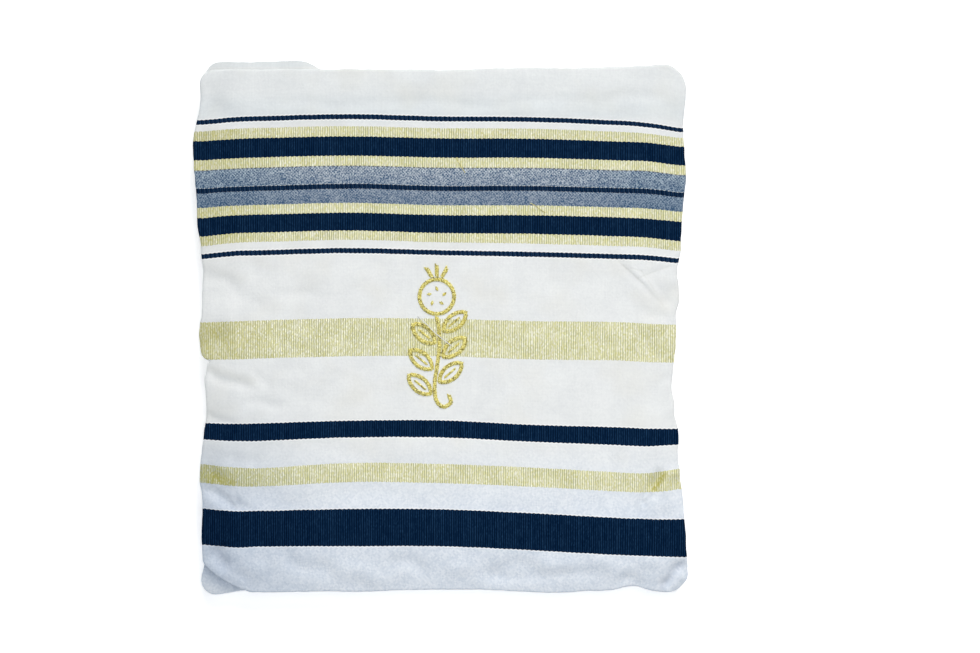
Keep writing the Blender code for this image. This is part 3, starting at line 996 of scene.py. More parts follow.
class NodeMaterial:
    """A material whose nodes are placed and joined by short calls."""

    def __init__(self, name: str, group: bool = False) -> None:
        """Starts a material, or a node group.

        Args:
            name: Its name.
            group: Whether it is a group for other materials.
        """
        if group:
            self.tree = bpy.data.node_groups.new(name, "ShaderNodeTree")
            self.material = None
        else:
            self.material = bpy.data.materials.new(name)
            self.material.use_nodes = True
            self.tree = self.material.node_tree
        self.column = 0

    def node(self, kind: str, **settings: object) -> bpy.types.Node:
        """Adds a node.

        Args:
            kind: Its type, without the word ShaderNode.
            settings: Its own properties.

        Returns:
            The node.
        """
        made = self.tree.nodes.new("ShaderNode" + kind)
        for key, value in settings.items():
            setattr(made, key, value)
        self.column += 1
        made.location = (self.column % 12 * 180 - 1800, -self.column // 12 * 220)
        return made

    def feed(self, socket: bpy.types.NodeSocket, value: object) -> None:
        """Sets an input to a number or a colour, or joins it to another node's output."""
        if isinstance(value, bpy.types.NodeSocket):
            self.tree.links.new(value, socket)
        else:
            socket.default_value = value

    def math(self, operation: str, *values: object, clamp: bool = False) -> bpy.types.NodeSocket:
        """Adds a math node.

        Args:
            operation: What it does.
            values: Its inputs.
            clamp: Whether its result stays between 0 and 1.

        Returns:
            Its output.
        """
        made = self.node("Math", operation=operation, use_clamp=clamp)
        for socket, value in zip(made.inputs, values):
            self.feed(socket, value)
        return made.outputs[0]

    def mix(self, share: object, first: object, second: object, way: str = "MIX") -> bpy.types.NodeSocket:
        """Mixes two colours.

        Args:
            share: How much of the second, from 0 to 1.
            first: The colour at 0.
            second: The colour at 1.
            way: How they are mixed.

        Returns:
            The mixed colour.
        """
        made = self.node("Mix", data_type="RGBA", clamp_factor=True, blend_type=way)
        self.feed(made.inputs[0], share)
        self.feed(made.inputs[6], first)
        self.feed(made.inputs[7], second)
        return made.outputs[2]

    def times(self, *values: object, clamp: bool = False) -> bpy.types.NodeSocket:
        """Two values multiplied."""
        return self.math("MULTIPLY", *values, clamp=clamp)

    def line(self, value: object, slope: object, start: object, clamp: bool = False) -> bpy.types.NodeSocket:
        """A value times a slope, plus a start."""
        return self.math("MULTIPLY_ADD", value, slope, start, clamp=clamp)

    def ramp(self, place: object, low: float, high: float) -> bpy.types.NodeSocket:
        """From 0 at a place in mm to 1 at another, and level outside them."""
        return self.line(place, 1 / ((high - low) * MM), -low / (high - low), clamp=True)

    def scaled(self, value: object, width: float) -> bpy.types.NodeSocket:
        """A value from 0 to 1 turned into a shift of a given whole width, even to both sides."""
        return self.line(value, width, -width / 2)

    def join(self, *parts: object) -> bpy.types.NodeSocket:
        """A vector from up to three numbers."""
        made = self.node("CombineXYZ")
        for socket, value in zip(made.inputs, parts):
            self.feed(socket, value)
        return made.outputs[0]

    def noise(self, place: object, scale: float, detail: float = 2.0) -> bpy.types.NodeSocket:
        """Smooth noise between 0 and 1.

        Args:
            place: Where it is read.
            scale: Swells to a metre.
            detail: How many finer layers it has.

        Returns:
            The value.
        """
        made = self.node("TexNoise", noise_dimensions="3D")
        self.feed(made.inputs["Vector"], place)
        made.inputs["Scale"].default_value = scale
        made.inputs["Detail"].default_value = detail
        return made.outputs["Fac"]

    def speckle(self, place: object) -> bpy.types.NodeSocket:
        """One random value between 0 and 1 for each whole place."""
        made = self.node("TexWhiteNoise", noise_dimensions="2D")
        self.feed(made.inputs["Vector"], place)
        return made.outputs["Value"]

    def wave(self, place: object, pitch: float) -> bpy.types.NodeSocket:
        """A soft wave between 0 and 1."""
        turned = self.math("COSINE", self.times(place, 2 * math.pi / pitch))
        return self.line(turned, 0.5, 0.5)

    def use(self, group: bpy.types.NodeTree, **inputs: object) -> dict[str, bpy.types.NodeSocket]:
        """Places a node group.

        Args:
            group: The group.
            inputs: Its inputs, with underscores for spaces.

        Returns:
            Its outputs by name.
        """
        made = self.node("Group", node_tree=group)
        for key, value in inputs.items():
            self.feed(made.inputs[key.replace("_", " ")], value)
        return {socket.name: socket for socket in made.outputs}

    def sockets(self, inputs: tuple[str, ...], outputs: tuple[str, ...]) -> tuple[dict, bpy.types.Node]:
        """Gives a group its named inputs and outputs, all of them numbers.

        Args:
            inputs: The names of the inputs.
            outputs: The names of the outputs.

        Returns:
            The inputs by name, and the node that the outputs are fed to.
        """
        for name in inputs:
            self.tree.interface.new_socket(name, in_out="INPUT", socket_type="NodeSocketFloat")
        for name in outputs:
            self.tree.interface.new_socket(name, in_out="OUTPUT", socket_type="NodeSocketFloat")
        start = self.tree.nodes.new("NodeGroupInput")
        end = self.tree.nodes.new("NodeGroupOutput")
        return {socket.name: socket for socket in start.outputs if socket.name}, end

    def bump(self, height: object, distance: float, strength: float = 1.0) -> bpy.types.NodeSocket:
        """Relief from a height between 0 and 1.

        Args:
            height: The height.
            distance: How far a height of 1 stands proud, in metres.
            strength: How much of it shows.

        Returns:
            The normal.
        """
        made = self.node("Bump")
        made.inputs["Strength"].default_value = strength
        made.inputs["Distance"].default_value = distance
        self.feed(made.inputs["Height"], height)
        return made.outputs["Normal"]


def srgb(red: int, green: int, blue: int) -> tuple[float, float, float, float]:
    """A colour as it is seen, from 0 to 255, turned into the linear values of a shader."""
    parts = [value / 255 for value in (red, green, blue)]
    linear = [p / 12.92 if p <= 0.04045 else ((p + 0.055) / 1.055) ** 2.4 for p in parts]
    return (*linear, 1.0)


@dataclass(frozen=True)
class PressedLine:
    """A line pressed into the cloth: its ends across and along it, width, depth and shade. The shade is
    painted shade in the fold, and a line with no depth is painted shade alone.
    """

    start: tuple[float, float]
    end: tuple[float, float]
    width: float
    depth: float
    shade: float = 0.0


# Pressed lines and folds: their relief, and the painted shade that darkens the colour in them.
PRESSED_LINES = tuple(PressedLine(*row) for row in (
    ((97.5, 201.5), (107.0, 191.5), 0.7, 0.7), ((105.5, 193.5), (117.0, 183.0), 0.7, 0.8),
    ((117.0, 183.0), (128.5, 171.0), 0.9, 0.4), ((110.0, 192.0), (116.0, 190.5), 0.6, 0.7),
    ((116.0, 190.5), (124.0, 179.0), 0.7, 0.6), ((114.0, 186.0), (133.0, 195.0), 0.7, 0.6),
    ((128.9, 72.0), (123.3, 65.5), 2.2, 0.3, 1.0), ((121.6, 62.4), (117.6, 59.0), 1.2, 0.3, 0.35),
    ((115.8, 56.2), (114.4, 48.5), 1.1, 0.3, 0.30), ((139.5, 22.5), (128.5, 7.5), 1.9, 0.2, 0.55),
    ((-130.0, 26.0), (-126.0, 15.0), 4.6, 0.0, 0.40), ((-136.0, 64.5), (-118.0, 55.0), 1.3, 0.3, 0.30),
    ((-124.0, 57.5), (-119.0, 50.0), 0.8, 0.4, 0.20), ((-136.0, 68.5), (-122.0, 65.5), 4.0, 0.0, 0.60),
    ((-139.5, 151.5), (-126.0, 154.0), 4.0, 0.0, 0.25), ((110.0, 7.5), (127.0, 3.5), 2.2, 0.0, 0.50),
    ((-137.0, 193.0), (-116.0, 184.0), 4.0, 0.0, 0.22), ((-134.0, 132.0), (-110.0, 124.5), 2.8, 0.0, 0.32),
    ((-140.5, 593.5), (-113.0, 610.0), 1.1, 0.0, 0.60),
))


@dataclass(frozen=True)
class WovenCloth:
    """The finish of the shawl: white ground, ribbed navy and gold bands and blue twill."""

    rib_pitch: float = 1.31
    weft_pitch: float = 0.76
    twill_pitch: float = 1.85
    heather_cell: float = 0.72
    crepe_cell: float = 1.45
    line_width: float = 3.4
    line_swell: float = 0.5
    tooth: float = 0.3
    white_edge: float = 0.65
    drift: float = 0.4
    dot_height: float = 0.36
    dot_share: float = 0.62
    spark_share: float = 0.68
    relief_height: float = 0.16
    # Where painted shade lies, in mm of the packet: the height of the upper face, the near strip, the far
    # strip, the lifted strip beyond the far trough, the slipped edge, the near left corner and the sides.
    upper_face: tuple = (10.2, 11.4)
    near_strip: tuple = (-65, -111)
    far_strip: tuple = (116, 123)
    lifted_strip: tuple = (129, 137)
    slipped_edge: tuple = (152, 153.5)
    left_corner: tuple = (-60, -135)
    near_corner: tuple = (-24, -90)
    dim_side: tuple = (72, 122)
    # Where the gold bands get painted shade towards the left side, in mm across.
    painted_shade_side: tuple = (-94, -134)
    ground: tuple = srgb(245, 247, 246)
    ground_shade: tuple = srgb(213, 216, 218)
    ground_warm: tuple = srgb(226, 224, 214)
    ground_edge: tuple = srgb(255, 255, 255)
    # Painted shade: the cooler, darker ground of the near strip, the far strip's shadow and the near left
    # corner's shadow.
    near_shade_dark: tuple = srgb(204, 215, 229)
    near_shade_light: tuple = srgb(241, 246, 253)
    far_shadow: tuple = srgb(245, 248, 250)
    corner_shadow: tuple = srgb(228, 232, 238)
    navy: tuple = srgb(5, 32, 62)
    # The navy's painted shade in the rib grooves.
    navy_groove_shade: tuple = srgb(0, 13, 34)
    navy_light: tuple = srgb(34, 66, 100)
    cord_gap: tuple = srgb(60, 80, 106)
    gold_pale: tuple = srgb(254, 253, 238)
    gold_thread: tuple = srgb(217, 215, 160)
    # The sparks' colour: partly the metal yarn's own bright yellow, partly painted glint.
    gold_bright: tuple = srgb(232, 228, 148)
    # The gold's painted shade in the rib grooves.
    gold_groove_shade: tuple = srgb(160, 161, 116)
    # Painted shade on the gold bands, towards the left side and in folds.
    gold_painted_shade: tuple = srgb(176, 170, 84)
    blue_dark: tuple = srgb(62, 90, 121)
    blue_light: tuple = srgb(214, 222, 228)
    # Painted shade on the blue bands towards both sides.
    blue_side_shade: tuple = srgb(226, 236, 242)
    # Painted shade in the folds of the white ground, warm on the middle of the face and cool in the near and
    # far strips.
    fold_shade_warm: tuple = srgb(170, 166, 146)
    fold_shade_cool: tuple = srgb(142, 153, 174)

    def band_group(self) -> bpy.types.NodeTree:
        """Makes the group that tells which band a place on the cloth belongs to.

        Returns:
            The group, with a mask between 0 and 1 for each coloured weave, for the thin lines, for the
            white edges and the dots beside them, and how far up a place lies in its blue band.
        """
        net = NodeMaterial("woven_bands", group=True)
        names = ("Navy", "Gold", "Blue", "Line", "Edge", "Cord", "Dots", "Low", "Rise")
        inputs, end = net.sockets(("Across", "Along"), names)
        back = net.math("SUBTRACT", 72 * INCH * MM, inputs["Along"])
        hem = net.math("MINIMUM", inputs["Along"], back)
        place = net.join(inputs["Across"], inputs["Along"])
        plain = net.math("ADD", hem, net.scaled(net.noise(place, 90, 1.0), self.drift * MM))
        tooth = net.scaled(net.wave(inputs["Across"], 2 * self.rib_pitch * MM), self.tooth * MM)
        toothed = net.math("ADD", plain, tooth)
        leaning = net.line(hem, 0.2, inputs["Across"])
        cord = net.wave(leaning, 2 * self.rib_pitch * MM)
        swell = net.times(cord, self.line_swell / 2 * MM)
        masks = {Weave.NAVY: [], Weave.GOLD: [], Weave.BLUE: []}
        lines, edges, dots, rises = [], [], [], []
        start, before = 0.0, Weave.GROUND
        for band in BANDS:
            centre, half = (start + band.width / 2) * MM, band.width / 2 * MM
            if band.weave is Weave.NAVY and band.width < self.line_width:
                half = net.math("ADD", swell, half - self.line_swell / 4 * MM)
                lines.append(net.math("COMPARE", plain, centre, half))
                masks[band.weave].append(lines[-1])
            elif band.weave is not Weave.GROUND:
                masks[band.weave].append(net.math("COMPARE", toothed, centre, half))
            if band.weave is Weave.NAVY:
                wide = net.math("ADD", half, self.white_edge * MM)
                edges.append(net.math("COMPARE", toothed, centre, wide))
            if band.weave is Weave.BLUE:
                place = net.line(hem, 1 / (band.width * MM), -start / band.width)
                rises.append(net.times(masks[band.weave][-1], place))
            if before is Weave.BLUE and band.weave is Weave.GOLD:
                dots.append(net.math("COMPARE", hem, start * MM, self.dot_height * MM))
            start, before = start + band.width, band.weave
        picks = net.math("GREATER_THAN", net.wave(inputs["Across"], 2 * self.rib_pitch * MM), self.dot_share)
        for weave, name in ((Weave.NAVY, "Navy"), (Weave.GOLD, "Gold"), (Weave.BLUE, "Blue")):
            net.feed(end.inputs[name], self.total(net, masks[weave]))
        net.feed(end.inputs["Line"], self.total(net, lines))
        net.feed(end.inputs["Edge"], self.total(net, edges))
        net.feed(end.inputs["Cord"], cord)
        net.feed(end.inputs["Dots"], net.times(picks, self.total(net, dots)))
        net.feed(end.inputs["Low"], masks[Weave.BLUE][0])
        net.feed(end.inputs["Rise"], self.total(net, rises))
        return net.tree

    @staticmethod
    def total(net: NodeMaterial, masks: list[bpy.types.NodeSocket]) -> bpy.types.NodeSocket:
        """Adds up masks that don't overlap."""
        whole = masks[0]
        for mask in masks[1:]:
            whole = net.math("ADD", whole, mask)
        return whole

    @staticmethod
    def diamonds(net: NodeMaterial, across: object, along: object, cell: float) -> bpy.types.NodeSocket:
        """One random value for each diamond of a slanting grid.

        Args:
            net: The group that takes the nodes.
            across: The place across the cloth.
            along: The place along it.
            cell: The width of a diamond, in mm.

        Returns:
            The value, between 0 and 1.
        """
        rising = net.times(net.math("ADD", across, along), 1 / (cell * MM))
        falling = net.times(net.math("SUBTRACT", across, along), 1 / (cell * MM))
        return net.speckle(net.join(net.math("FLOOR", rising), net.math("FLOOR", falling)))

    def rib_group(self) -> bpy.types.NodeTree:
        """Makes the group for ribs that run along the cloth, with a random tone for each.

        Returns:
            The group, with a height, a tone for each rib and stretch of rib, a fine glitter, the bright
            sparks in it, which are partly painted glint, the weft and how much the grooves' painted shade
            shows.
        """
        net = NodeMaterial("warp_ribs", group=True)
        names = ("Height", "Tone", "Stretch", "Glitter", "Spark", "Weft", "Show")
        inputs, end = net.sockets(("Across", "Along"), names)
        place = net.join(inputs["Across"], net.times(inputs["Along"], 0.25))
        across = net.math("ADD", inputs["Across"], net.scaled(net.noise(place, 70, 1.0), 1.2 * MM))
        number = net.math("FLOOR", net.line(across, 1 / (self.rib_pitch * MM), 0.5))
        half = net.math("FLOOR", net.times(across, 2 / (self.rib_pitch * MM)))
        shifted = net.line(net.speckle(net.join(half, 7.0)), 0.9 * MM, inputs["Along"])
        pick = net.math("FLOOR", net.times(shifted, 1 / (1.5 * self.weft_pitch * MM)))
        length = net.math("FLOOR", net.times(inputs["Along"], 1 / (4.3 * MM)))
        even = net.join(inputs["Across"], inputs["Along"])
        show = net.line(net.noise(even, 75, 2.0), 2.6, -0.75, clamp=True)
        net.feed(end.inputs["Height"], net.wave(across, self.rib_pitch * MM))
        net.feed(end.inputs["Tone"], net.speckle(net.join(number, 0.0)))
        net.feed(end.inputs["Stretch"], net.speckle(net.join(number, length)))
        net.feed(end.inputs["Glitter"], net.speckle(net.join(half, pick)))
        other = net.join(net.math("ADD", half, 500.0), pick)
        net.feed(end.inputs["Spark"], net.math("GREATER_THAN", net.speckle(other), self.spark_share))
        net.feed(end.inputs["Weft"], net.wave(inputs["Along"], self.weft_pitch * MM))
        net.feed(end.inputs["Show"], show)
        return net.tree

    def ground_group(self) -> bpy.types.NodeTree:
        """Makes the group for the plain ground: a fine slanting grain and uneven yarn.

        Returns:
            The group, with a height, a tone, a mottle and a warm cast between 0 and 1.
        """
        net = NodeMaterial("plain_ground", group=True)
        inputs, end = net.sockets(("Across", "Along"), ("Height", "Tone", "Mottle", "Warm"))
        across, along = inputs["Across"], inputs["Along"]
        even = net.join(across, along)
        streak = net.noise(net.join(across, net.times(along, 0.06)), 900, 2.0)
        slub = net.noise(net.join(net.times(across, 0.08), along), 700, 2.0)
        grain = self.diamonds(net, across, along, self.crepe_cell)
        yarn = net.times(net.math("ADD", streak, slub), 0.5)
        cloud = net.noise(even, 60, 3.0)
        tone = net.line(cloud, 0.55, net.times(yarn, 0.40))
        net.feed(end.inputs["Height"], net.line(grain, 0.45, net.times(yarn, 0.5)))
        net.feed(end.inputs["Tone"], net.line(grain, 0.14, tone))
        mottle = net.line(net.noise(even, 130, 2.0), 1.6, -0.55)
        net.feed(end.inputs["Mottle"], net.line(grain, 0.55, net.times(mottle, 0.45)))
        net.feed(end.inputs["Warm"], net.line(net.noise(even, 32, 2.0), 3.2, -1.55, clamp=True))
        return net.tree

    def twill_group(self) -> bpy.types.NodeTree:
        """Makes the group for the heathered blue, where navy and white threads cross.

        Returns:
            The group, with the share of white thread at each place.
        """
        net = NodeMaterial("heather_twill", group=True)
        inputs, end = net.sockets(("Across", "Along", "Rise"), ("Light",))
        across, along = inputs["Across"], inputs["Along"]
        pitch = self.twill_pitch * MM
        rising = net.wave(net.math("ADD", across, along), pitch)
        falling = net.wave(net.math("SUBTRACT", across, along), pitch)
        dots = net.times(net.times(rising, falling), 1.5)
        heather = self.diamonds(net, across, along, self.heather_cell)
        drift = net.scaled(net.noise(net.join(across, along), 110, 2.0), 0.35)
        weight = net.line(inputs["Rise"], 0.40, 0.02)
        light = net.line(net.math("SUBTRACT", heather, 0.17), 0.76, net.times(dots, weight))
        net.feed(end.inputs["Light"], net.math("ADD", light, drift, clamp=True))
        return net.tree

    def crease_group(self) -> bpy.types.NodeTree:
        """Makes the group for the lines that pressing and folding left in the cloth.

        Returns:
            The group, with the depth and the painted shade of the lines between 0 and 1.
        """
        net = NodeMaterial("pressed_lines", group=True)
        inputs, end = net.sockets(("Across", "Along"), ("Depth", "Shade"))
        depth = shade = 0.0
        for line in PRESSED_LINES:
            (x0, y0), (x1, y1) = line.start, line.end
            length = math.hypot(x1 - x0, y1 - y0)
            ux, uy = (x1 - x0) / length, (y1 - y0) / length
            right = net.math("SUBTRACT", inputs["Across"], x0 * MM)
            up = net.math("SUBTRACT", inputs["Along"], y0 * MM)
            forward = net.line(right, ux, net.times(up, uy))
            aside = net.line(right, uy, net.times(up, -ux))
            past = net.math("ABSOLUTE", net.math("SUBTRACT", forward, length / 2 * MM))
            past = net.math("MAXIMUM", net.math("SUBTRACT", past, length / 2 * MM), 0.0)
            square = net.line(aside, aside, net.times(past, past))
            mark = net.math("EXPONENT", net.times(square, -1 / (line.width * MM) ** 2))
            depth = net.line(mark, line.depth, depth)
            if line.shade:
                shade = net.line(mark, line.shade, shade)
        net.feed(end.inputs["Depth"], depth)
        net.feed(end.inputs["Shade"], shade)
        return net.tree

    def shadow_group(self) -> bpy.types.NodeTree:
        """Makes the group for painted shade: the cooler, dimmer strips and near left corner of the upper
        face.

        Returns:
            The group, with a mask of painted shade for the near strip, the corner, the far strip and the
            sides.
        """
        net = NodeMaterial("dim_sides", group=True)
        inputs, end = net.sockets(("Across", "Along", "Up"), ("Near", "Corner", "Far", "Side"))
        across, along = inputs["Across"], inputs["Along"]
        upper = net.ramp(inputs["Up"], *self.upper_face)
        near = net.ramp(along, *self.near_strip)
        left = net.ramp(across, *self.left_corner)
        low = net.ramp(along, *self.near_corner)
        lifted = net.ramp(along, *self.lifted_strip)
        slipped = net.ramp(along, *self.slipped_edge)
        far = net.times(net.ramp(along, *self.far_strip), net.line(lifted, -0.6, 1.0))
        far = net.line(slipped, 2.4, far)
        side = net.ramp(net.math("ABSOLUTE", across), *self.dim_side)
        net.feed(end.inputs["Near"], near)
        net.feed(end.inputs["Corner"], net.times(net.times(left, low), upper))
        net.feed(end.inputs["Far"], far)
        net.feed(end.inputs["Side"], side)
        return net.tree

    def build(self) -> bpy.types.Material:
        """Makes the cloth's material.

        Returns:
            The material.
        """
        net = NodeMaterial("woven_cloth")
        shader = net.tree.nodes["Principled BSDF"]
        cloth = net.node("UVMap", uv_map=CLOTH_MAP)
        parts = net.node("SeparateXYZ")
        net.feed(parts.inputs[0], cloth.outputs[0])
        place = {"Across": parts.outputs[0], "Along": parts.outputs[1]}
        spot = net.node("SeparateXYZ")
        net.feed(spot.inputs[0], net.node("TexCoord").outputs["Object"])
        bands = net.use(self.band_group(), **place)
        ribs = net.use(self.rib_group(), **place)
        plain = net.use(self.ground_group(), **place)
        twill = net.use(self.twill_group(), Rise=bands["Rise"], **place)
        pressed = net.use(self.crease_group(), **place)
        across, along, up = spot.outputs
        # Masks of painted shade, from the piece's own place.
        dim = net.use(self.shadow_group(), Across=across, Along=along, Up=up)
        colour = self.ground_colour(net, plain, dim, pressed, bands)
        colour = net.mix(bands["Navy"], colour, self.navy_colour(net, ribs, bands))
        gold = self.gold_colour(net, ribs, pressed, place["Across"], place["Along"])
        colour = net.mix(bands["Gold"], colour, gold)
        light = net.times(twill["Light"], net.line(bands["Low"], -0.32, 1.0))
        blue = net.mix(light, self.blue_dark, self.blue_light)
        # Painted shade: the blue bands darker and cooler towards both sides.
        blue = net.mix(dim["Side"], blue, self.blue_side_shade, "MULTIPLY")
        colour = net.mix(bands["Blue"], colour, blue)
        colour = net.mix(net.times(bands["Dots"], 0.75), colour, self.navy)
        # Painted shadow over the near left corner of the upper face.
        colour = net.mix(dim["Corner"], colour, self.corner_shadow, "MULTIPLY")
        net.feed(shader.inputs["Base Color"], colour)
        shine = net.times(bands["Gold"], net.math("GREATER_THAN", ribs["Glitter"], 0.70))
        net.feed(shader.inputs["Metallic"], net.times(shine, 0.4))
        net.feed(shader.inputs["Roughness"], net.line(shine, -0.40, 0.9))
        net.feed(shader.inputs["Normal"], self.relief(net, bands, ribs, plain, twill, pressed))
        shader.inputs["Specular IOR Level"].default_value = 0.02
        return net.material

    def ground_colour(
        self, net: NodeMaterial, plain: dict, dim: dict, pressed: dict, bands: dict
    ) -> bpy.types.NodeSocket:
        """The white ground: warmer in patches, with painted shade that makes it cooler and dimmer at both
        ends and in the folds, whiter beside the navy bands.
        """
        tone = net.mix(plain["Tone"], self.ground_shade, self.ground)
        tone = net.mix(net.times(plain["Warm"], 0.4), tone, self.ground_warm)
        # Painted shade: the near strip's ground cooler and darker, the far strip and the slipped edge darker.
        strip = net.mix(plain["Mottle"], self.near_shade_dark, self.near_shade_light)
        tone = net.mix(net.times(dim["Near"], 0.85), tone, strip)
        tone = net.mix(dim["Far"], tone, self.far_shadow, "MULTIPLY")
        tone = net.mix(net.times(bands["Edge"], 0.5), tone, self.ground_edge)
        # Painted shade in the folds: the pressed lines darken the ground, warmer in the middle of the face,
        # cooler in the strips.
        painted_fold_shade = net.line(pressed["Depth"], 0.10, net.times(pressed["Shade"], 0.4))
        cool = net.math("MAXIMUM", dim["Near"], dim["Far"])
        return net.mix(painted_fold_shade, tone, net.mix(cool, self.fold_shade_warm, self.fold_shade_cool))

    def navy_colour(self, net: NodeMaterial, ribs: dict, bands: dict) -> bpy.types.NodeSocket:
        """The navy rib, a little lighter on some of its ribs, with painted shade in the grooves between ribs,
        and the twist of the thin lines.
        """
        lit = net.times(net.math("POWER", ribs["Glitter"], 3.0), 0.45)
        lit = net.line(ribs["Stretch"], 0.22, lit)
        lit = net.line(net.math("POWER", ribs["Tone"], 3.0), 0.22, lit)
        top = net.mix(lit, self.navy, self.navy_light)
        # Painted shade in the grooves between the ribs.
        rib = net.mix(net.math("POWER", ribs["Height"], 0.7), self.navy_groove_shade, top)
        gap = net.math("POWER", net.math("SUBTRACT", 1.0, bands["Cord"]), 3.0)
        return net.mix(net.times(net.times(bands["Line"], gap), 0.28), rib, self.cord_gap)

    def gold_colour(
        self, net: NodeMaterial, ribs: dict, pressed: dict, across: object, along: object
    ) -> bpy.types.NodeSocket:
        """The gold rib: pale and yellow threads, with painted shade in the rib grooves, in the folds and
        towards the left side.
        """
        tone = net.line(ribs["Stretch"], 0.12, net.times(ribs["Tone"], 0.12))
        tone = net.line(ribs["Glitter"], 0.80, tone)
        top = net.mix(net.times(tone, 1.0, clamp=True), self.gold_thread, self.gold_pale)
        # Bright yellow sparks: partly the metal yarn's own yellow, partly painted glint.
        top = net.mix(net.times(ribs["Spark"], 0.4), top, self.gold_bright)
        # Painted shade in the grooves between the ribs, stronger where the grooves show more.
        depth = net.math("SUBTRACT", 1.0, net.math("POWER", ribs["Height"], 0.6))
        depth = net.times(depth, net.line(ribs["Show"], 0.50, 0.50))
        gold = net.mix(depth, top, self.gold_groove_shade)
        # Painted shade on the gold: patchy towards the left side, and along the painted fold lines.
        patch = net.line(net.noise(net.join(across, along), 110, 3.0), 2.4, -0.5, clamp=True)
        side = net.ramp(across, *self.painted_shade_side)
        side = net.times(net.math("POWER", side, 0.7), net.line(patch, 0.75, 0.2))
        painted_gold_shade = net.line(side, 0.45, net.times(pressed["Shade"], 0.9), clamp=True)
        painted_gold_shade = net.times(painted_gold_shade, net.line(ribs["Glitter"], -0.55, 1.0))
        return net.mix(painted_gold_shade, gold, self.gold_painted_shade)

    def relief(
        self, net: NodeMaterial, bands: dict, ribs: dict, plain: dict, twill: dict, pressed: dict
    ) -> bpy.types.NodeSocket:
        """The relief of each weave, and of the pressed lines."""
        ribbed = net.math("ADD", bands["Navy"], bands["Gold"])
        height = net.times(ribbed, net.line(ribs["Weft"], 0.25, ribs["Height"]))
        height = net.line(bands["Blue"], net.times(twill["Light"], 0.6), height)
        bare = net.math("SUBTRACT", 1.0, net.math("ADD", ribbed, bands["Blue"]))
        height = net.line(net.times(bare, plain["Height"]), 0.42, height)
        height = net.line(pressed["Depth"], -1.3, height)
        return net.bump(height, self.relief_height * MM, 0.8)


@dataclass(frozen=True)
class GoldThread:
    """The finish of the sprig's metallic embroidery thread, with painted glints."""

    # The painted glints' colour, then the thread's middle and deep tones.
    bright: tuple = srgb(252, 246, 168)
    middle: tuple = srgb(208, 193, 88)
    deep: tuple = srgb(108, 94, 20)

    def build(self) -> bpy.types.Material:
        """Makes the thread's material.

        Returns:
            The material.
        """
        net = NodeMaterial("gold_thread")
        shader = net.tree.nodes["Principled BSDF"]
        place = net.node("TexCoord").outputs["Object"]
        fine = net.noise(place, 1300, 1.0)
        broad = net.noise(place, 620, 1.0)
        body = net.line(broad, 3.4, -1.0, clamp=True)
        # Painted glints: bright yellow spots on the thread.
        painted_glint = net.line(fine, 4.6, -2.0, clamp=True)
        colour = net.mix(painted_glint, net.mix(body, self.deep, self.middle), self.bright)
        net.feed(shader.inputs["Base Color"], colour)
        shader.inputs["Metallic"].default_value = 0.2
        net.feed(shader.inputs["Roughness"], net.line(fine, 0.25, 0.32))
        net.feed(shader.inputs["Normal"], net.bump(fine, 0.08 * MM, 0.8))
        return net.material


@dataclass(frozen=True)
class PaleFloor:
    """The finish of the plain floor under the packet."""

    colour: tuple = srgb(252, 252, 252)
    shade: tuple = srgb(249, 249, 250)
    glow: float = 0.35

    def build(self) -> bpy.types.Material:
        """Makes the floor's material.

        Returns:
            The material.
        """
        net = NodeMaterial("pale_floor")
        shader = net.tree.nodes["Principled BSDF"]
        place = net.node("TexCoord").outputs["Object"]
        tone = net.noise(place, 4, 2.0)
        net.feed(shader.inputs["Base Color"], net.mix(tone, self.colour, self.shade))
        shader.inputs["Roughness"].default_value = 0.9
        shader.inputs["Specular IOR Level"].default_value = 0.1
        shader.inputs["Emission Color"].default_value = (1, 1, 1, 1)
        shader.inputs["Emission Strength"].default_value = self.glow
        return net.material


@dataclass(frozen=True)
class Stroke:
    """One stitched line: its route in mm, its width and how far it stands proud."""

    route: list
    width: float
    rise: float


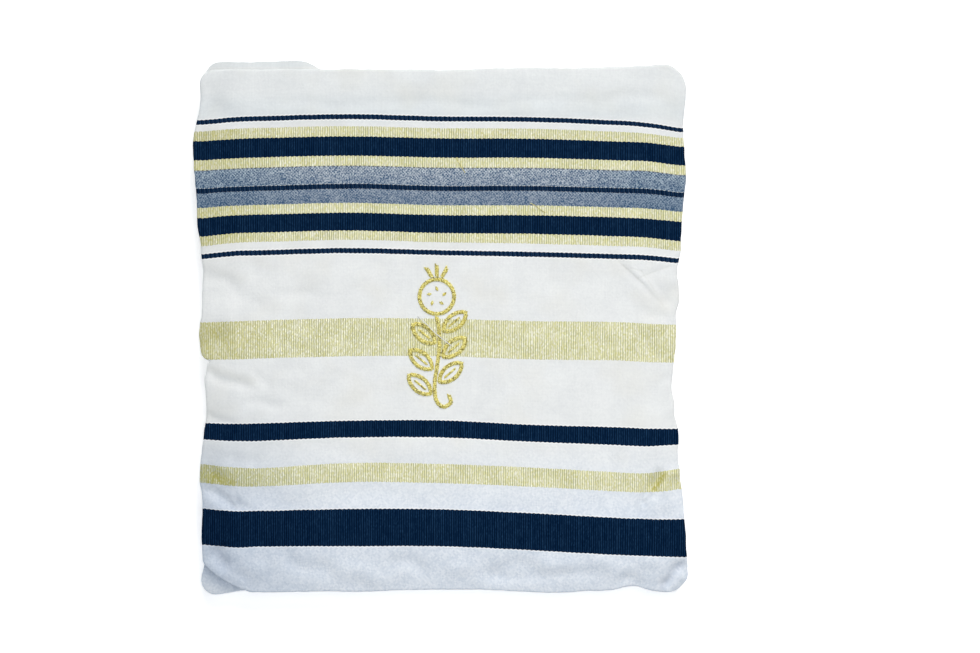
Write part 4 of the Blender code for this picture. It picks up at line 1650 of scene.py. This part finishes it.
@dataclass
class Sprig:
    """The raised gold sprig: rows of satin stitches over a padded line, in mm."""

    form: PacketForm
    across: float = -2.6
    along: float = -4.4
    stroke: float = 2.3
    rise: float = 0.95
    vein: float = 1.2
    vein_rise: float = 0.6
    fruit_along: float = 23.2
    fruit_radius: float = 10.0
    leaf_length: float = 16.0
    leaf_width: float = 7.8
    leaf_lean: float = 50.0
    leaf_point: float = 0.4
    leaf_clearance: float = 0.7
    stitch_pitch: float = 0.92
    stitch_slant: float = 1.15
    thread: float = 0.42
    low_stitch: float = 0.10
    stitch_stations: tuple[float, ...] = (-1.0, -0.62, 0.0, 0.62, 1.0)
    seed_count: int = 5
    seed_ring: float = 4.6
    seed_length: float = 1.5

    def surface(self, x: Places, y: Places, lift: Places) -> Places:
        """Points above the upper face.

        Args:
            x: The places across, from the sprig's own middle.
            y: The places along, from the sprig's own middle.
            lift: How far above the cloth.

        Returns:
            The points in the frame, in metres, one to a row.
        """
        px, py = x + self.across, y + self.along
        height = self.form.dome(px, py) + self.form.folds(px, py) + lift
        return np.stack([px + self.form.shift.x, py + self.form.shift.y, height], axis=-1) * MM

    @staticmethod
    def through(points: tuple, steps: int) -> list[tuple[float, float]]:
        """Places on a smooth curve through a few points.

        Args:
            points: The points.
            steps: How many places to each stretch.

        Returns:
            The places.
        """
        route = np.array(points, float)
        at = np.linspace(0, len(route) - 1, (len(route) - 1) * steps + 1)
        rows = np.arange(len(route), dtype=float)
        return list(zip(smooth_read(rows, route[:, 0], at), smooth_read(rows, route[:, 1], at)))

    def oval(self, x: float, y: float, long: float, wide: float, lean: float, point: float) -> list:
        """Places round a leaf or a fruit.

        Args:
            x: Its middle across.
            y: Its middle along.
            long: Half of its length.
            wide: Half of its width.
            lean: How far its length leans to the right, in degrees.
            point: 0 for an ellipse, more for pointed ends.

        Returns:
            The places.
        """
        turn = np.linspace(0, 2 * math.pi, 73)
        forward = long * np.cos(turn)
        aside = wide * np.sin(turn) * np.abs(np.sin(turn)) ** point
        sine, cosine = math.sin(math.radians(lean)), math.cos(math.radians(lean))
        return list(zip(x + forward * sine + aside * cosine, y + forward * cosine - aside * sine))

    def stitched(self, name: str, strokes: list[Stroke], material: bpy.types.Material) -> bpy.types.Object:
        """Lays satin stitches side by side over padded lines.

        Args:
            name: The piece's name.
            strokes: The lines.
            material: The thread's finish.

        Returns:
            The piece.
        """
        line = thread_curve(name, self.thread, material)
        for stroke in strokes:
            points = np.array(stroke.route, float)
            self.add_padding(line, points, stroke)
            self.add_stitches(line, points, stroke)
        return meshed(line, name)

    def add_stitches(self, line: bpy.types.Curve, points: Places, stroke: Stroke) -> None:
        """Lays one stroke's stitches, every other one a little lower, as a twisted cord shows.

        Args:
            line: The curve that takes them.
            points: The stroke's places.
            stroke: Its width and rise.
        """
        chance = np.random.default_rng(len(points) + round(10 * stroke.width))
        steps = np.hypot(*np.diff(points, axis=0).T)
        along = np.concatenate([[0], np.cumsum(steps)])
        count = max(2, round(along[-1] / self.stitch_pitch))
        at = (np.arange(count) + 0.5) / count * along[-1]
        ahead = np.stack([np.interp(at + 0.3, along, points[:, j]) for j in (0, 1)])
        behind = np.stack([np.interp(at - 0.3, along, points[:, j]) for j in (0, 1)])
        way = (ahead - behind) / np.hypot(*(ahead - behind))
        middle = (ahead + behind) / 2
        half = stroke.width / 2 * (1 + 0.10 * chance.uniform(-1, 1, count)) - self.thread / 2
        slant = self.stitch_slant * stroke.width / self.stroke * (1 + 0.2 * chance.uniform(-1, 1, count))
        side = np.array(self.stitch_stations)[:, None]
        x = middle[0] - way[1] * side * half + way[0] * side * slant
        y = middle[1] + way[0] * side * half + way[1] * side * slant
        rise = stroke.rise - self.low_stitch * (np.arange(count) % 2) - self.thread
        lift = np.maximum(0.06, 0.06 + rise * (1 - side * side) ** 0.75)
        places = self.surface(x, y, lift)
        for k in range(count):
            radii = [chance.uniform(0.88, 1.06) for _ in self.stitch_stations]
            draw_thread(line, places[:, k], radii)

    def add_padding(self, line: bpy.types.Curve, points: Places, stroke: Stroke) -> None:
        """Lays the padding threads that the stitches go over.

        Args:
            line: The curve that takes them.
            points: The line's places.
            stroke: Its width and rise.
        """
        for share, rise in ((-0.24, 0.1), (0.0, 0.3), (0.24, 0.1)):
            side, lift = share * stroke.width, rise * stroke.rise
            way = np.gradient(points, axis=0)
            way = way / np.maximum(np.hypot(*way.T), 1e-6)[:, None]
            moved = points + np.stack([-way[:, 1], way[:, 0]], axis=1) * side
            places = self.surface(moved[:, 0], moved[:, 1], np.full(len(moved), lift))
            draw_thread(line, places, [0.45 * stroke.width / self.thread / 2] * len(moved))

    def build(self, material: bpy.types.Material) -> dict[str, bpy.types.Object]:
        """Makes the sprig's pieces.

        Args:
            material: The thread's finish.

        Returns:
            Each piece, by the name of the solid that it stands for.
        """
        pieces = {}
        stem = Stroke(self.through(STEM_POINTS, 8), self.stroke, self.rise)
        pieces["sprig_stem"] = self.stitched("stem_stitches", [stem], material)
        pieces["sprig_fruit"] = self.stitched("fruit_stitches", self.fruit(), material)
        for leaf in LEAVES:
            name = leaf.node.replace("sprig_leaf", "leaf_stitches")
            pieces[leaf.node] = self.stitched(name, self.leaf(leaf), material)
        for node, ends in SEPALS.items():
            sepal = Stroke(self.through(ends, 8), self.stroke, self.rise)
            pieces[node] = self.stitched(node.replace("sprig_sepal", "sepal_stitches"), [sepal], material)
        return pieces

    def fruit(self) -> list[Stroke]:
        """The round fruit and the seeds in it."""
        radius = self.fruit_radius
        strokes = [Stroke(self.oval(0, self.fruit_along, radius, radius, 0, 0), self.stroke, self.rise)]
        for k in range(self.seed_count):
            turn = 2 * math.pi * k / self.seed_count
            ends = [self.seed_ring + side * self.seed_length / 2 for side in (-1, 1)]
            route = tuple((r * math.sin(turn), self.fruit_along + r * math.cos(turn)) for r in ends)
            strokes.append(Stroke(self.through(route, 4), self.vein * 1.4, self.vein_rise))
        return strokes

    def leaf(self, leaf: Leaf) -> list[Stroke]:
        """The outline of a leaf and its vein."""
        straight = np.array([p for p in STEM_POINTS if p[0] < 3])[::-1]
        sign, lean = 1 if leaf.right else -1, math.radians(self.leaf_lean)
        middle = smooth_read(straight[:, 1], straight[:, 0], np.array([leaf.along]))[0]
        root = middle + sign * (self.stroke + self.leaf_clearance)
        half = self.leaf_length / 2
        x, y = root + sign * half * math.sin(lean), leaf.along + half * math.cos(lean)
        route = self.oval(x, y, half, self.leaf_width / 2, sign * self.leaf_lean, self.leaf_point)
        step_x, step_y = sign * half * math.sin(lean), half * math.cos(lean)
        ends = tuple((x + share * step_x, y + share * step_y) for share in (-0.55, 0.45))
        vein = Stroke(self.through(ends, 6), self.vein, self.vein_rise)
        return [Stroke(route, self.stroke, self.rise), vein]


@dataclass(frozen=True)
class LooseThread:
    """A loose end of thread that lies on the packet: its places in mm and its middle's lift."""

    name: str
    gold: bool
    places: tuple
    lift: float
    radius: float = 0.17


LOOSE_THREADS = (
    LooseThread("loose_gold_thread_1", True, ((51.4, 73.1), (53.8, 72.0), (57.4, 69.4), (60.4, 67.5)), 0.3),
    LooseThread("loose_gold_thread_2", True, ((8.9, 99.6), (9.9, 97.2), (11.3, 94.6), (13.9, 90.6)), 0.3),
    LooseThread(
        "stray_white_thread", False, ((-13.6, 7.6), (-8.6, 2.9), (-2.4, -3.2), (5.8, -9.6)), 1.9, 0.27
    ),
)


@dataclass(frozen=True)
class ThreadEnds:
    """Lays the loose ends of thread on the cloth, in mm."""

    form: PacketForm
    end_lift: float = 0.3
    ground_place: tuple[float, float] = (0.0, 0.118)

    def build(self, thread: LooseThread, material: bpy.types.Material) -> bpy.types.Object:
        """Makes one loose thread.

        Args:
            thread: Which.
            material: Its finish.

        Returns:
            The piece.
        """
        route = np.array(Sprig.through(thread.places, 8))
        share = np.linspace(-1, 1, len(route))
        lift = self.end_lift + (thread.lift - self.end_lift) * (1 - share**4)
        x, y = route[:, 0], route[:, 1]
        height = self.form.dome(x, y) + self.form.folds(x, y) + lift
        line = thread_curve(thread.name, thread.radius, material)
        places = np.stack([x + self.form.shift.x, y + self.form.shift.y, height], axis=-1) * MM
        draw_thread(line, places, [1.0] * len(route))
        piece = meshed(line, thread.name)
        cloth_map = piece.data.uv_layers.new(name=CLOTH_MAP)
        for corner in cloth_map.data:
            corner.uv = self.ground_place
        return piece


def meshed(line: bpy.types.Curve, name: str) -> bpy.types.Object:
    """Turns a curve into a piece.

    Args:
        line: The curve.
        name: The piece's name.

    Returns:
        The piece.
    """
    drawn = placed(name + "_line", line)
    bpy.context.view_layer.update()
    mesh = bpy.data.meshes.new_from_object(drawn.evaluated_get(bpy.context.evaluated_depsgraph_get()))
    bpy.data.objects.remove(drawn)
    mesh.name = name
    mesh.shade_smooth()
    return placed(name, mesh)


@dataclass
class Studio:
    """The pale floor, the soft lights and the camera that looks straight down."""

    form: PacketForm
    lens: float = 60.0
    sensor: float = 36.0
    floor_size: float = 4.0
    measured_plane: float = 15.5

    def floor(self) -> bpy.types.Object:
        """Lays the floor.

        Returns:
            The floor.
        """
        shape = bmesh.new()
        bmesh.ops.create_grid(shape, x_segments=8, y_segments=8, size=self.floor_size / 2)
        mesh = bpy.data.meshes.new("floor")
        shape.to_mesh(mesh)
        shape.free()
        mesh.materials.append(PaleFloor().build())
        floor = placed("floor", mesh)
        return floor

    def lamp(self, name: str, place: tuple, size: float, power: float, colour: tuple) -> None:
        """Hangs a soft square light that faces the packet.

        Args:
            name: Its name.
            place: Where it hangs, in metres.
            size: Its side, in metres.
            power: Its power, in watts.
            colour: Its colour.
        """
        data = bpy.data.lights.new(name, "AREA")
        data.shape, data.size, data.energy, data.color = "SQUARE", size, power, colour
        lamp = placed(name, data)
        lamp.location = place
        lamp.rotation_euler = (-Vector(place)).to_track_quat("-Z", "Y").to_euler()

    def lights(self) -> None:
        """Sets the lights and the world."""
        self.lamp("key_light", (0.7, 3.05, 2.45), 1.6, 86.0, (1.0, 0.96, 0.92))
        self.lamp("overhead_light", (0.09, -0.06, 0.6), 0.45, 1.5, (1.0, 0.985, 0.965))
        self.lamp("left_fill", (-1.3, -0.5, 1.2), 1.2, 1.8, (0.93, 0.96, 1.0))
        world = bpy.data.worlds.new("soft_studio")
        world.use_nodes = True
        background = world.node_tree.nodes["Background"]
        background.inputs["Color"].default_value = (0.88, 0.94, 1.0, 1)
        background.inputs["Strength"].default_value = 0.34
        bpy.context.scene.world = world

    def camera(self) -> bpy.types.Object:
        """Places the camera as the photographer held it.

        Returns:
            The camera.
        """
        data = bpy.data.cameras.new("camera")
        data.lens, data.sensor_width = self.lens, self.sensor
        camera = placed("camera", data)
        across = (PHOTO_WIDTH_PX / 2 - PHOTO_MIDDLE_PX[0]) * MM_PER_PX + self.form.shift.x
        along = (PHOTO_MIDDLE_PX[1] - PHOTO_HEIGHT_PX / 2) * MM_PER_PX + self.form.shift.y
        distance = self.lens / self.sensor * PHOTO_WIDTH_PX * MM_PER_PX
        camera.location = Vector((across, along, self.measured_plane + distance)) * MM
        bpy.context.scene.camera = camera
        return camera


def settle(form: PacketForm) -> None:
    """Sets the form's shift so that its upper pass lies where the frame's solid does.

    Args:
        form: The packet, which still lies about its own middle.
    """
    rim = Rim(form, 0, ClothPass.across, ClothPass.along)
    x, y = rim.x + rim.out_x * form.nose, rim.y + rim.out_y * form.nose
    low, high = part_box("end_panel")
    form.shift = Vector((
        (low[0] + high[0]) / 2 / MM - (x.min() + x.max()) / 2,
        (low[1] + high[1]) / 2 / MM - (y.min() + y.max()) / 2,
    ))


def declare(piece: bpy.types.Object, slot: str, *nodes: str) -> None:
    """Makes a piece ride on the shawl and hides the solids that it stands for.

    Args:
        piece: The piece.
        slot: The record's material slot, which is not used.
        nodes: The solids, if any.
    """
    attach(piece, "root")
    if nodes:
        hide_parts(*nodes)


def build_cloth(form: PacketForm, material: bpy.types.Material) -> None:
    """Makes the six passes of cloth.

    Args:
        form: The packet.
        material: The cloth's finish.
    """
    upper = ClothPass(form, 0, Face.UPPER, across=188, along=204).build(material)
    declare(upper, "shawl_cloth", "end_panel")
    middle = [ClothPass(form, index).build(material) for index in range(1, 5)]
    under = ClothPass(form, 5, Face.UNDER, across=116, along=126).build(material)
    declare(under, "shawl_cloth", "folded_layers")
    for piece in middle:
        declare(piece, "shawl_cloth")
    LOG.info("cloth: %s, %s passes", upper.name, len(middle) + 2)


def build_stitching(form: PacketForm, cloth: bpy.types.Material) -> None:
    """Makes the stitched sprig and the loose ends of thread.

    Args:
        form: The packet.
        cloth: The cloth's finish.
    """
    gold = GoldThread().build()
    for node, piece in Sprig(form).build(gold).items():
        declare(piece, "gold_thread", node)
        LOG.info("stitching: %s, %s faces", piece.name, len(piece.data.polygons))
    for thread in LOOSE_THREADS:
        piece = ThreadEnds(form).build(thread, gold if thread.gold else cloth)
        declare(piece, "gold_thread" if thread.gold else "shawl_cloth")
        LOG.info("thread: %s", piece.name)


def main() -> None:
    """Builds the cloth, the sprig and the studio in order."""
    logging.basicConfig(level=logging.INFO, format="%(name)s: %(message)s")
    bpy.context.scene.view_settings.view_transform = "Standard"
    form = PacketForm()
    settle(form)
    LOG.info("packet: shifted by %.3f and %.3f mm", form.shift.x, form.shift.y)
    studio = Studio(form)
    studio.camera()
    cloth = WovenCloth().build()
    build_cloth(form, cloth)
    build_stitching(form, cloth)
    studio.floor()
    studio.lights()


if __name__ == "__main__":
    main()
